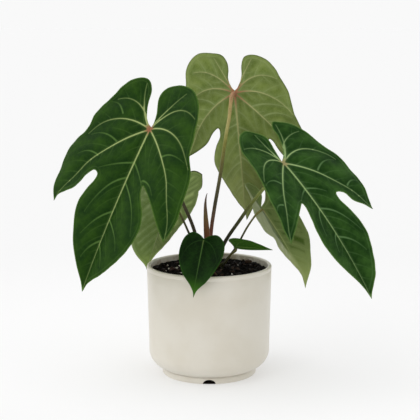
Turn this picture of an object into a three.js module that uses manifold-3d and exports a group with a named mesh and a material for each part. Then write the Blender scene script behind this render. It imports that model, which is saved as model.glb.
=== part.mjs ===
// A potted anthurium: three-lobed leaves on long stalks, a short stem with a new leaf spike,
// and dark bark mix in a footed ceramic pot. Millimetres, +Z up, the photographed side towards -Y.
import * as THREE from 'three';
import { mergeVertices } from 'three/addons/utils/BufferGeometryUtils.js';
import Module from 'manifold-3d';

const wasm = await Module();
wasm.setup();

const CLEARANCE = 0.3; // between neighbouring pieces
const HOLE_MARGIN = 0.4; // a hole in the soil is this much wider than what stands in it
const WELD_DISTANCE = 1e-4; // corners nearer than this are one
const NO_BEND = 1e-9; // radians per millimetre: stands for a straight line where a rate is divided by

const POT = {
  height: 123.8,
  rimRadius: 70,
  wall: 4.4,
  lipHeight: 2.4, // where the rim starts to round over
  lipEdge: 0.7,
  shoulderRadius: 69.8,
  shoulderHeight: 112,
  bellyRadius: 69.2,
  bellyHeight: 85,
  waistRadius: 68,
  cornerRound: 20,
  cornerStart: -76,
  footRadius: 53,
  footHeight: 6.8,
  footWall: 7,
  footEdge: 0.8,
  grooveDepth: 1.2,
  floorUnderside: 6.5,
  floorChamfer: 1.5,
  floorTop: 11.5,
  insideRound: 14,
  drainRadius: 6,
  notchWidth: 14,
  notchHeight: 5,
  notchAngles: [-90, 90],
  notchSides: 20,
  sides: 56,
  cornerSteps: 6,
};

const SOIL = {
  level: 117,
  moundHeight: 1.6,
  moundSpread: 24,
  lumpHeight: 0.55,
  lumps: { width: 27, depth: 33, slantWidth: 21, slantDepth: 15, slantShare: 0.6, phase: 1.1 },
  rings: 8,
  sides: 40,
  holeSides: 14,
  holeAbove: 12, // the tool that cuts a hole starts this far above the level
  crumbs: 22,
  crumbSize: [2.2, 4.2],
  crumbFlatness: [1, 0.8, 0.6],
  crumbSink: 0.1,
  clearOfStem: 20,
  seed: 7,
};

const STEM = {
  x: 2,
  y: 3,
  radius: 5.4,
  buriedTo: 108,
  top: 127,
  sides: 16,
  edge: 0.6,
  // Each point of a scar is [below the top, inwards].
  scars: [[7.5, 0], [7, 0.5], [5.5, 0.2], [3.5, 0.5], [3, 0.9], [1, 0.8], [0, 1.6]],
};

const SPIKE = {
  knots: [[-0.4, 3, 127.3], [-1.6, 3, 140], [-2.3, 3, 152], [-3.2, 3, 165], [-4.1, 3, 180],
    [-4.3, 3, 192], [-3.3, 3, 200.4], [-2.2, 3, 203.5]],
  radius: 4.1,
  neck: 0.75,
  bellyAt: 0.25,
  tipRadius: 0.35,
  taper: 2,
  sides: 12,
  steps: 18,
};

const STALK = {
  buriedTo: 105,
  straightTo: 119,
  baseSwell: 1.2,
  baseSpan: [10, 55],
  kneeSwell: 1.25,
  kneeSpan: [2.2, 0.8], // in knee lengths below the blade
  taper: 0.12,
  sides: 10,
  stepLength: 9,
  extraSteps: 4,
};

const BLADE = {
  thickness: 0.8,
  ribDepth: 0.9,
  ribSpread: 1.6,
  ribStep: 6,
  quiltRise: 1.8,
  quiltSpread: 9,
  waveRise: 1.3,
  waveLength: 46,
  waveReach: 60,
  wavePhase: 0.8,
  seamSoftness: 12,
  seamReach: 30,
  fullLength: 180, // a leaf this long has the full swelling between its ribs
  smallestSwelling: 0.35,
};

// How the flat points of a blade are spaced, in grains: a grain is the leaf's own point spacing.
const SPACING = {
  outline: 0.75,
  ribFromEdge: 0.4,
  ribApart: 0.45,
  fieldFromEdge: 0.55,
  fieldApart: 0.62,
  shake: 0.16,
  seed: 11,
  halfField: 200, // the field of points reaches this far each way, in millimetres
  outlineRounds: 8,
};

// Each leaf is drawn flat, in millimetres from the top of its stalk: u to the right and v to the
// centre tip, seen from above. Its outline runs anticlockwise from the notch above the stalk, in
// stretches that meet at the sharp corners. A rib is [bend, end] and starts at the stalk, and
// midribBend is the bend of a midrib that isn't straight.
// facing, lift and roll place it: where the upper face looks (0 is -Y, positive to +X), how far
// above the horizon it looks, and how the leaf is turned about that. fold is the rise of both
// halves beside the midrib, in degrees. curl, droop and baseDroop bend it, in degrees per 100 mm.
const LEAVES = [
  {
    name: 'front_left',
    top: [-63, -45, 279],
    facing: -32,
    lift: 27,
    roll: -13,
    fold: 18,
    curl: 38,
    droop: 6,
    baseDroop: 0,
    sweep: 2,
    grain: 9.6,
    outline: [
      [[0, -3], [7, -7], [15, -22], [19, -41], [29, -51], [42, -47], [57, -29], [72, 2], [76, 19],
        [86, 38], [92, 68], [89, 93], [81, 109]],
      [[81, 109], [78, 102], [57, 87], [49, 71], [40, 62], [34, 65], [41, 88], [43, 107], [33, 136],
        [18, 161], [7, 177], [2, 187]],
      [[2, 187], [-3, 177], [-22, 160], [-39, 136], [-49, 107], [-45, 90], [-31, 67], [-30, 60],
        [-43, 68], [-65, 92], [-80, 106]],
      [[-80, 106], [-85, 71], [-78, 32], [-68, 12], [-63, -8], [-54, -37], [-36, -53], [-14, -55],
        [3, -47], [6, -35], [0, -17], [-1, -7], [0, -3]],
    ],
    ribs: [
      [[55, 44], [81, 107]], [[44, -11], [73, 27]], [[27, -35], [54, -19]], [[22, -16], [28, -46]],
      [[-60, 30], [-80, 104]], [[-43, -15], [-73, 28]], [[-24, -42], [-55, -24]], [[-6, -20], [-28, -48]],
    ],
    stalk: {
      radius: 2.05, knee: 7, foot: [-6, -1],
      knots: [[-16, -3, 160], [-21, -6, 175], [-28, -11, 192], [-43, -25, 228]],
    },
  },
  {
    name: 'back_center',
    top: [29, 35, 313],
    facing: 152,
    lift: 14,
    roll: 1,
    fold: 7,
    curl: 2,
    droop: 2,
    baseDroop: 8,
    sweep: 2,
    grain: 9.6,
    outline: [
      [[0, -3], [5, -8], [10, -20], [11, -32], [15, -42], [24, -45], [37, -41], [50, -29], [60, -9],
        [66, 14], [74, 38], [80, 62], [81, 83]],
      [[81, 83], [68, 79], [52, 73], [44.5, 64], [39.5, 56.5], [36, 54], [34, 58], [35.5, 70], [38, 87],
        [33, 103], [22.5, 120], [13, 134], [7.5, 144], [2, 154]],
      [[2, 154], [0, 143], [-10, 133], [-24, 114], [-35, 97], [-38, 84], [-34, 68], [-27, 54],
        [-28, 45], [-36, 51], [-47, 66], [-60, 76], [-72, 83]],
      [[-72, 83], [-76, 62], [-75, 38], [-72, 15], [-67, -6], [-65, -22], [-57, -34], [-44, -43],
        [-28, -45], [-14, -44], [-7, -36], [-6, -27], [-7, -16], [-4, -7], [0, -3]],
    ],
    ribs: [
      [[40, 32], [80, 80]], [[36, -12], [68, 24]], [[24, -31], [52, -18]], [[10, -18], [24, -40]],
      [[-49, 22], [-70, 80]], [[-37, -13], [-66, 18]], [[-25, -29], [-53, -20]], [[-10, -18], [-22, -40]],
    ],
    stalk: {
      radius: 2.2, knee: 7, foot: [1, 12.5],
      knots: [[2, 13, 157], [6, 14, 186], [12, 17, 220], [19, 24, 267], [22, 27, 283]],
    },
  },
  {
    name: 'front_right',
    top: [80, -38, 242],
    facing: 24,
    lift: 46,
    roll: 20.5,
    fold: 18,
    curl: 42,
    droop: 14,
    baseDroop: -4,
    sweep: 0,
    grain: 9.6,
    outline: [
      [[0, -3], [-1, -12], [-4, -28], [-4, -38], [4, -48], [17, -52], [30, -47], [40, -31], [44, -6],
        [49, 19], [56, 43], [60, 67], [62, 86]],
      [[62, 86], [47, 74], [31, 60], [21, 53], [21, 63], [28, 92], [28, 108], [19, 136], [6, 157],
        [2, 165], [0, 174]],
      [[0, 174], [-5, 166], [-16, 152], [-26, 130], [-32, 107], [-30, 83], [-25, 66], [-27, 58],
        [-35, 62], [-40, 74], [-52, 83], [-59, 91]],
      [[-59, 91], [-63, 71], [-65, 45], [-63, 24], [-56, 7], [-51, -13], [-44, -31], [-33, -44],
        [-24, -50], [-19, -44], [-17, -30], [-11, -14], [-4, -6], [0, -3]],
    ],
    ribs: [
      [[33, 24], [61, 84]], [[22, -21], [44, 14]], [[10, -32], [36, -31]], [[4, -18], [6, -45]],
      [[-37, 36], [-58, 88]], [[-34, -19], [-56, 24]], [[-17, -31], [-42, -25]], [[-20, -14], [-25, -45]],
    ],
    stalk: {
      radius: 2.1, knee: 7, foot: [7.5, -4.2],
      knots: [[16, -7, 147], [34, -12, 176], [50, -19, 200], [66, -27, 221]],
    },
  },
  {
    name: 'back_right',
    top: [61, 30, 181.5],
    facing: 140,
    lift: 22,
    roll: -24,
    fold: 22,
    curl: 10,
    droop: 10,
    baseDroop: 5,
    sweep: 0,
    grain: 9,
    outline: [
      [[0, -3], [7, -7], [13, -14], [21, -25], [29, -24], [33, -10], [34, 12], [34, 38], [31.5, 53],
        [23.5, 71], [17.5, 83], [11, 91], [6, 96.5], [0, 104]],
      [[0, 104], [1.6, 96], [2.8, 88], [-0.5, 77], [-8, 69.5], [-15, 62], [-19.5, 54], [-20, 47],
        [-18.5, 41], [-20, 37], [-26, 34], [-32, 28.5], [-34.5, 17], [-32.5, 5], [-24, -6],
        [-15, -13], [-10, -21], [-6, -33], [3, -34], [9, -25], [8.5, -15], [3.2, -7.5], [0, -3]],
    ],
    midribBend: [6, 85],
    ribs: [
      [[22, 6], [32, 42]], [[18, -6], [28, -20]], [[-18, 2], [-28, 26]], [[1, -14], [-3, -30]],
    ],
    stalk: {
      radius: 1.25, knee: 6, foot: [10.5, 5],
      knots: [[17, 4.5, 125], [30, 8, 141], [43, 15, 163], [53, 22, 176]],
    },
  },
  {
    name: 'back_left',
    top: [-42, 25, 197],
    facing: -145,
    lift: 20,
    roll: 13,
    fold: 10,
    curl: 10,
    droop: 5,
    baseDroop: 5,
    sweep: 3,
    grain: 9,
    outline: [
      [[0, -3], [4, -14], [8, -28], [15, -33], [22, -33.5], [29, -32], [34, -30]],
      [[34, -30], [36, -26], [40, -19], [42, -13], [40, -8.5]],
      [[40, -8.5], [43.5, -1], [45, 7.5], [44, 15], [42, 22], [36.5, 32], [31, 44.5], [25, 57],
        [17.5, 67.5], [10.5, 76], [5.5, 84.5], [4, 94]],
      [[4, 94], [-2, 88], [-14, 80], [-24, 70], [-34, 50], [-40, 28], [-42, 6], [-38, -14],
        [-30, -28], [-18, -34], [-8, -28], [-4, -14], [0, -3]],
    ],
    ribs: [
      [[28, 2], [37, 36]], [[24, -12], [34, -24]], [[-28, 2], [-37, 40]], [[-22, -10], [-30, -22]],
    ],
    stalk: {
      radius: 1.35, knee: 6, foot: [-5.2, 7.2],
      knots: [[-23, 11, 157], [-29, 15, 170], [-37, 20, 186]],
    },
  },
  {
    name: 'front_small',
    top: [-6, -62, 162],
    facing: -8,
    lift: 24,
    roll: -8,
    fold: 14,
    curl: 60,
    droop: 10,
    baseDroop: 10,
    sweep: 0,
    grain: 6.5,
    outline: [
      [[0, -2], [4, -5], [12, -7], [19, -2], [23, 11], [22, 24], [15, 39], [5, 50], [1, 56], [-1, 62]],
      [[-1, 62], [-3, 55], [-12, 44], [-20, 29], [-25, 12], [-23, 0], [-15, -7], [-7, -6], [0, -2]],
    ],
    ribs: [
      [[15, 2], [20, 24]], [[-15, 2], [-20, 24]],
    ],
    stalk: {
      radius: 1.2, knee: 5, foot: [-0.5, -5],
      knots: [[-1, -20, 138], [-2, -44, 153]],
    },
  },
  {
    name: 'right_small',
    top: [29.8, -9, 144.6],
    facing: -2,
    lift: 72,
    roll: 86,
    fold: 14,
    curl: 30,
    droop: 12,
    baseDroop: 10,
    sweep: 0,
    grain: 5.5,
    outline: [
      [[0, -2], [2.5, -2.6], [5, -0.8], [8, 4.5], [10.2, 11], [10.3, 16], [8.5, 22], [6, 28],
        [3, 34], [0, 41]],
      [[0, 41], [-2, 36.5], [-4, 31.5], [-6.5, 26], [-9, 20], [-11.5, 13], [-13, 6], [-14, -1],
        [-14, -5.5], [-12.5, -8.6], [-10, -9.2], [-5, -5.6], [0, -2]],
    ],
    ribs: [
      [[7, 1], [8, 14]], [[-9, 0], [-10, 14]],
    ],
    stalk: {
      radius: 1.1, knee: 4, foot: [14.5, 0.4],
      knots: [[20.5, -2.5, 129.3], [24.9, -5, 136.1]],
    },
  },
];

const FINISHES = {
  ceramic: { color: 0xddd8cc, roughness: 0.55 },
  soil: { color: 0x1c1612, roughness: 0.95 },
  leafFront: { color: 0x274a1c, roughness: 0.45 },
  leafBack: { color: 0x71803f, roughness: 0.6 },
  stalk: { color: 0x4a3a22, roughness: 0.55 },
  spike: { color: 0x6b3a26, roughness: 0.5 },
  stem: { color: 0x4b4026, roughness: 0.8 },
};

const radians = THREE.MathUtils.degToRad;

/** A repeatable source of numbers from 0 to 1. */
function seededRandom(seed) {
  let state = seed;
  return () => {
    state = (state * 16807) % 2147483647;
    return state / 2147483647;
  };
}

/** A smooth open curve through knots of [x, y, z], or of [x, y] at z 0. */
function curveThrough(knots) {
  const points = knots.map(([x, y, z = 0]) => new THREE.Vector3(x, y, z));
  return new THREE.CatmullRomCurve3(points, false, 'centripetal');
}

/** Smooth points through the knots of an open stretch, about `step` apart. */
function smoothStretch(knots, step) {
  const curve = curveThrough(knots);
  const count = Math.max(2, Math.round(curve.getLength() / step));
  return curve.getSpacedPoints(count).map((p) => [p.x, p.y]);
}

/** A leaf's whole outline as one closed ring of points, its corners kept. */
function outlineRing(leaf, step) {
  return leaf.outline.flatMap((stretch) => smoothStretch(stretch, step).slice(0, -1));
}

/** The leaf's ribs as open lines of points, the midrib first. */
function ribLines(leaf, step) {
  const reach = leafLength(leaf);
  const midrib = [leaf.midribBend ?? [0, reach / 2], [leaf.sweep, reach]];
  return [midrib, ...leaf.ribs].map(([bend, end]) => {
    const corners = [[0, 0], bend, end].map(([u, v]) => new THREE.Vector2(u, v));
    const curve = new THREE.QuadraticBezierCurve(...corners);
    const count = Math.max(2, Math.round(curve.getLength() / step));
    return curve.getSpacedPoints(count).map((p) => [p.x, p.y]);
  });
}

/** How far the centre tip lies from the stalk, along v. */
function leafLength(leaf) {
  return Math.max(...leaf.outline.flat().map(([, v]) => v));
}

/** The distance from (x, y) to the nearest point of a line of points. */
function distanceToLine([x, y], line) {
  let least = Infinity;
  for (let i = 1; i < line.length; i += 1) {
    const [ax, ay] = line[i - 1];
    const [bx, by] = line[i];
    const dx = bx - ax;
    const dy = by - ay;
    const t = THREE.MathUtils.clamp(((x - ax) * dx + (y - ay) * dy) / (dx * dx + dy * dy), 0, 1);
    least = Math.min(least, Math.hypot(x - ax - t * dx, y - ay - t * dy));
  }
  return least;
}

/** Whether (x, y) is inside a closed ring of points. */
function isInside([x, y], ring) {
  let inside = false;
  for (let i = 0, j = ring.length - 1; i < ring.length; j = i, i += 1) {
    const [ax, ay] = ring[i];
    const [bx, by] = ring[j];
    if ((ay > y) !== (by > y) && x < ((bx - ax) * (y - ay)) / (by - ay) + ax) inside = !inside;
  }
  return inside;
}

/** A triangle of three point numbers, with the circle through its corners. */
function circledTriangle(points, corners) {
  const [[ax, ay], [bx, by], [cx, cy]] = corners.map((i) => points[i]);
  const d = 2 * (ax * (by - cy) + bx * (cy - ay) + cx * (ay - by));
  const a = ax * ax + ay * ay;
  const b = bx * bx + by * by;
  const c = cx * cx + cy * cy;
  const x = (a * (by - cy) + b * (cy - ay) + c * (ay - by)) / d;
  const y = (a * (cx - bx) + b * (ax - cx) + c * (bx - ax)) / d;
  return { corners, x, y, radius: Math.hypot(ax - x, ay - y) };
}

/** Delaunay triangles of flat points, built one point at a time, all turning anticlockwise. */
function delaunay(points) {
  const far = 1e4; // well outside any leaf
  const count = points.length;
  const all = [...points, [-far, -far], [far, -far], [0, far]];
  let triangles = [circledTriangle(all, [count, count + 1, count + 2])];
  for (let i = 0; i < count; i += 1) {
    const [x, y] = all[i];
    const openEdges = new Map();
    const kept = [];
    for (const triangle of triangles) {
      if (Math.hypot(x - triangle.x, y - triangle.y) > triangle.radius) {
        kept.push(triangle);
        continue;
      }
      const [a, b, c] = triangle.corners;
      for (const [from, to] of [[a, b], [b, c], [c, a]]) {
        if (!openEdges.delete(`${to},${from}`)) openEdges.set(`${from},${to}`, [from, to]);
      }
    }
    triangles = kept;
    for (const [from, to] of openEdges.values()) triangles.push(circledTriangle(all, [from, to, i]));
  }
  return triangles.map((t) => t.corners).filter((corners) => corners.every((i) => i < count));
}

/** Points inside a leaf: along its ribs, and a shaken triangular grid between them. */
function innerPoints(leaf, ring) {
  const grain = leaf.grain;
  const edge = [...ring, ring[0]];
  const points = [];
  const place = (point, fromEdge, apart) => {
    const clear = points.every(([x, y]) => Math.hypot(point[0] - x, point[1] - y) > apart);
    if (clear && isInside(point, ring) && distanceToLine(point, edge) > fromEdge) points.push(point);
  };
  const lines = ribLines(leaf, grain);
  for (const point of lines.flat()) place(point, SPACING.ribFromEdge * grain, SPACING.ribApart * grain);
  const random = seededRandom(SPACING.seed);
  const shaken = (place) => (place + SPACING.shake * (random() - 0.5)) * grain;
  const rowHeight = Math.sqrt(0.75);
  const rows = Math.ceil(SPACING.halfField / (grain * rowHeight));
  for (let row = -rows; row <= rows; row += 1) {
    for (let column = -rows; column <= rows; column += 1) {
      const point = [shaken(column + (row % 2 === 0 ? 0 : 0.5)), shaken(row * rowHeight)];
      place(point, SPACING.fieldFromEdge * grain, SPACING.fieldApart * grain);
    }
  }
  return points;
}

/** Flat triangles that fill a leaf's outline. The outline's points come first, in order. */
function fillOutline(leaf) {
  let ring = outlineRing(leaf, SPACING.outline * leaf.grain);
  for (let round = 0; round < SPACING.outlineRounds; round += 1) {
    const points = [...ring, ...innerPoints(leaf, ring)];
    const triangles = delaunay(points).filter((corners) => {
      const middle = [0, 1].map((axis) => corners.reduce((sum, i) => sum + points[i][axis], 0) / 3);
      return isInside(middle, ring);
    });
    const used = new Set(triangles.flatMap(([a, b, c]) => [`${a},${b}`, `${b},${c}`, `${c},${a}`]));
    const missing = ring.map((_, i) => i).filter((i) => !used.has(`${i},${(i + 1) % ring.length}`));
    if (missing.length === 0) return { points, triangles, edgeCount: ring.length };
    const split = new Set(missing);
    ring = ring.flatMap(([u, v], i) => {
      const [nextU, nextV] = ring[(i + 1) % ring.length];
      return split.has(i) ? [[u, v], [(u + nextU) / 2, (v + nextV) / 2]] : [[u, v]];
    });
  }
  throw new Error(`the outline of ${leaf.name} has an edge that no triangle uses`);
}

/** The bent surface of a leaf: flat (u, v) to a point in the plant's space. */
class LeafSurface {
  constructor(leaf) {
    this.leaf = leaf;
    this.reach = leafLength(leaf);
    this.ribs = ribLines(leaf, BLADE.ribStep);
    this.origin = new THREE.Vector3(...leaf.top);
    const facing = radians(leaf.facing);
    const lift = radians(leaf.lift);
    const roll = radians(leaf.roll);
    const upper = new THREE.Vector3(
      Math.sin(facing) * Math.cos(lift), -Math.cos(facing) * Math.cos(lift), Math.sin(lift));
    const down = new THREE.Vector3(
      Math.sin(facing) * Math.sin(lift), -Math.cos(facing) * Math.sin(lift), -Math.cos(lift));
    const across = new THREE.Vector3().crossVectors(upper, down);
    this.upper = upper;
    this.along = down.multiplyScalar(Math.cos(roll)).addScaledVector(across, Math.sin(roll));
    this.side = new THREE.Vector3().crossVectors(this.along, upper);
  }

  ribDistance(u, v) {
    return Math.min(...this.ribs.map((line) => distanceToLine([u, v], line)));
  }

  /** Swellings between the ribs, and a slow wave towards the edges. */
  relief(u, v, fromMidrib) {
    const swelling = 1 - Math.exp(-((this.ribDistance(u, v) / BLADE.quiltSpread) ** 2));
    const size = THREE.MathUtils.lerp(BLADE.smallestSwelling, 1, Math.min(1, this.reach / BLADE.fullLength));
    const phase = (2 * Math.PI * v) / BLADE.waveLength + Math.sign(u) * BLADE.wavePhase;
    const wave = Math.sin(phase) * Math.min(1, fromMidrib / BLADE.waveReach) ** 2;
    return BLADE.quiltRise * size * swelling + BLADE.waveRise * wave;
  }

  /** The middle of the blade's thickness at (u, v). */
  point(u, v) {
    const { fold, curl, droop, baseDroop, sweep } = this.leaf;
    const midline = v > 0 ? sweep * (v / this.reach) ** 2 : 0;
    const offset = u - midline;
    const width = Math.abs(offset);
    const softness = BLADE.seamSoftness * THREE.MathUtils.smoothstep(-v, 0, BLADE.seamReach);
    const softWidth = Math.hypot(width, softness) - softness;
    const start = radians(fold);
    const bend = radians(curl) / 100;
    const across = midline + (Math.sign(offset) * (Math.sin(start) - Math.sin(start - bend * width))) / bend;
    const rise = (Math.cos(start - bend * softWidth) - Math.cos(start)) / bend + this.relief(u, v, width);
    const dropRate = radians(v >= 0 ? droop : baseDroop) / 100 || NO_BEND;
    const angle = dropRate * v;
    const ahead = Math.sin(angle) / dropRate + rise * Math.sin(angle);
    const above = (Math.cos(angle) - 1) / dropRate + rise * Math.cos(angle);
    return this.origin.clone()
      .addScaledVector(this.side, across)
      .addScaledVector(this.along, ahead)
      .addScaledVector(this.upper, above);
  }

  /** The way out of the upper face at (u, v). */
  normal(u, v) {
    const step = 0.4;
    const du = this.point(u + step, v).sub(this.point(u - step, v));
    const dv = this.point(u, v + step).sub(this.point(u, v - step));
    return du.cross(dv).normalize();
  }
}

/** A geometry with its shared corners joined, so that it is one closed skin. */
function merged(geometry) {
  geometry.deleteAttribute('normal');
  geometry.deleteAttribute('uv');
  return mergeVertices(geometry, WELD_DISTANCE);
}

/** An indexed geometry from a list of points and a list of triangles. */
function solidFrom(points, triangles) {
  const geometry = new THREE.BufferGeometry();
  const values = points.flatMap((p) => [p.x, p.y, p.z]);
  geometry.setAttribute('position', new THREE.Float32BufferAttribute(values, 3));
  geometry.setIndex(triangles.flat());
  return geometry;
}

/** A leaf blade: the bent surface thickened both ways, with its ribs standing out underneath. */
function bladeGeometry(leaf) {
  const surface = new LeafSurface(leaf);
  const { points, triangles, edgeCount } = fillOutline(leaf);
  const upper = [];
  const under = [];
  for (const [u, v] of points) {
    const middle = surface.point(u, v);
    const normal = surface.normal(u, v);
    const rib = BLADE.ribDepth * Math.exp(-((surface.ribDistance(u, v) / BLADE.ribSpread) ** 2));
    upper.push(middle.clone().addScaledVector(normal, BLADE.thickness / 2));
    under.push(middle.clone().addScaledVector(normal, -BLADE.thickness / 2 - rib));
  }
  const count = points.length;
  const faces = triangles.flatMap(([a, b, c]) => [[a, b, c], [count + a, count + c, count + b]]);
  for (let i = 0; i < edgeCount; i += 1) {
    const next = (i + 1) % edgeCount;
    faces.push([next, i, count + i], [next, count + i, count + next]);
  }
  return solidFrom([...upper, ...under], faces);
}

/** A round bar along a curve, radiusAt giving its radius from the start (0) to the end (1). */
function taperedBar(curve, radiusAt, sides, steps) {
  const corners = Array.from({ length: sides }, (_, i) => {
    const angle = (2 * Math.PI * i) / sides;
    return new THREE.Vector2(Math.cos(angle), Math.sin(angle));
  });
  const section = new THREE.Shape(corners);
  const bar = new THREE.ExtrudeGeometry(section, { steps, bevelEnabled: false, extrudePath: curve });
  const middles = curve.getSpacedPoints(steps);
  const position = bar.getAttribute('position');
  const point = new THREE.Vector3();
  for (let i = 0; i < position.count; i += 1) {
    point.fromBufferAttribute(position, i);
    const distances = middles.map((middle) => middle.distanceToSquared(point));
    const nearest = distances.indexOf(Math.min(...distances));
    point.sub(middles[nearest]).multiplyScalar(radiusAt(nearest / steps)).add(middles[nearest]);
    position.setXYZ(i, point.x, point.y, point.z);
  }
  return merged(bar);
}

/** A leaf stalk: upright in the soil, up to a swollen knee that ends under the blade. */
function stalkGeometry(leaf) {
  const { radius, knee, foot, knots } = leaf.stalk;
  const surface = new LeafSurface(leaf);
  const under = surface.normal(0, 0).negate();
  const blade = surface.point(0, 0);
  const seat = BLADE.thickness / 2 + BLADE.ribDepth + CLEARANCE;
  const heights = [STALK.buriedTo, (STALK.buriedTo + STALK.straightTo) / 2, STALK.straightTo];
  const path = [
    ...heights.map((z) => [...foot, z]),
    ...knots,
    blade.clone().addScaledVector(under, knee).toArray(),
    blade.clone().addScaledVector(under, seat).toArray(),
  ];
  const curve = curveThrough(path);
  const length = curve.getLength();
  const radiusAt = (t) => {
    const [kneeStart, kneeEnd] = STALK.kneeSpan.map((span) => length - span * knee);
    const fromBase = THREE.MathUtils.smoothstep(t * length, ...STALK.baseSpan);
    const intoKnee = THREE.MathUtils.smoothstep(t * length, kneeStart, kneeEnd);
    const baseSwell = THREE.MathUtils.lerp(STALK.baseSwell, 1, fromBase);
    const kneeSwell = THREE.MathUtils.lerp(1, STALK.kneeSwell, intoKnee);
    return radius * baseSwell * kneeSwell * (1 - STALK.taper * t);
  };
  return taperedBar(curve, radiusAt, STALK.sides, Math.round(length / STALK.stepLength) + STALK.extraSteps);
}

/** A solid turned about +Z, from a profile that closes on the axis or on itself. */
function turnedGeometry(profile, sides) {
  const lathe = new THREE.LatheGeometry(profile.map(([r, z]) => new THREE.Vector2(r, z)), sides);
  lathe.rotateX(Math.PI / 2);
  return merged(lathe);
}

/** Profile points on an arc about (r, z), between two angles in degrees. */
function arc(r, z, radius, from, to, steps) {
  return Array.from({ length: steps + 1 }, (_, i) => {
    const angle = radians(from + ((to - from) * i) / steps);
    return [r + radius * Math.cos(angle), z + radius * Math.sin(angle)];
  });
}

/** The radius of the pot's inner wall at a height above its floor. */
function innerRadius(z) {
  const t = (z - POT.floorTop) / (POT.height - POT.floorTop);
  return THREE.MathUtils.lerp(POT.waistRadius, POT.rimRadius, t) - POT.wall;
}

/** A geometry's closed solid, ready for joining and cutting. */
function toManifold(geometry) {
  const solid = new wasm.Mesh({
    numProp: 3,
    vertProperties: new Float32Array(geometry.getAttribute('position').array),
    triVerts: new Uint32Array(geometry.index.array),
  });
  return new wasm.Manifold(solid);
}

function fromManifold(solid) {
  const mesh = solid.getMesh();
  const geometry = new THREE.BufferGeometry();
  geometry.setAttribute('position', new THREE.BufferAttribute(new Float32Array(mesh.vertProperties), 3));
  geometry.setIndex(new THREE.BufferAttribute(new Uint32Array(mesh.triVerts), 1));
  return geometry;
}

/** The pot: a thin straight wall on a footed base, with a drain hole and notches in the foot. */
function potGeometry() {
  const lip = POT.height - POT.lipHeight;
  const innerFoot = POT.footRadius - POT.footWall;
  const cornerMiddle = POT.waistRadius - POT.cornerRound;
  const cornerZ = POT.footHeight + POT.cornerRound + CLEARANCE;
  const insideCorner = innerRadius(POT.floorTop + POT.insideRound) - POT.insideRound;
  const profile = [
    [innerFoot, 0],
    [POT.footRadius - POT.footEdge, 0],
    [POT.footRadius, POT.footEdge],
    [POT.footRadius, POT.footHeight - POT.footEdge],
    [POT.footRadius - POT.grooveDepth, POT.footHeight],
    ...arc(cornerMiddle, cornerZ, POT.cornerRound, POT.cornerStart, 0, POT.cornerSteps),
    [POT.bellyRadius, POT.bellyHeight],
    [POT.shoulderRadius, POT.shoulderHeight],
    [POT.rimRadius, lip],
    [POT.rimRadius - POT.lipEdge, POT.height - POT.lipEdge],
    [POT.rimRadius - POT.wall / 2, POT.height],
    [POT.rimRadius - POT.wall + POT.lipEdge, POT.height - POT.lipEdge],
    [innerRadius(lip), lip],
    ...arc(insideCorner, POT.floorTop + POT.insideRound, POT.insideRound, 0, -90, POT.cornerSteps),
    [POT.drainRadius, POT.floorTop],
    [POT.drainRadius, POT.floorUnderside],
    [innerFoot - POT.floorChamfer, POT.floorUnderside],
    [innerFoot, POT.floorUnderside - POT.floorChamfer],
    [innerFoot, 0],
  ];
  let pot = toManifold(turnedGeometry(profile, POT.sides));
  for (const angle of POT.notchAngles) {
    const notch = new THREE.CylinderGeometry(1, 1, 3 * POT.footWall, POT.notchSides);
    notch.scale(POT.notchWidth / 2, 1, POT.notchHeight);
    notch.translate(0, innerFoot, 0);
    notch.rotateZ(radians(angle - 90));
    pot = pot.subtract(toManifold(merged(notch)));
  }
  return fromManifold(pot);
}

/** The height of the soil's surface at (x, y), before its crumbs. */
function soilHeight(x, y) {
  const fromStem = Math.hypot(x - STEM.x, y - STEM.y);
  const mound = SOIL.moundHeight * Math.exp(-((fromStem / SOIL.moundSpread) ** 2));
  const { width, depth, slantWidth, slantDepth, slantShare, phase } = SOIL.lumps;
  const turn = 2 * Math.PI;
  const lumps = Math.sin((turn * x) / width + phase) * Math.cos((turn * y) / depth);
  const slanted = slantShare * Math.sin((turn * y) / slantDepth - (turn * x) / slantWidth);
  return SOIL.level + mound + SOIL.lumpHeight * (lumps + slanted);
}

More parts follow.
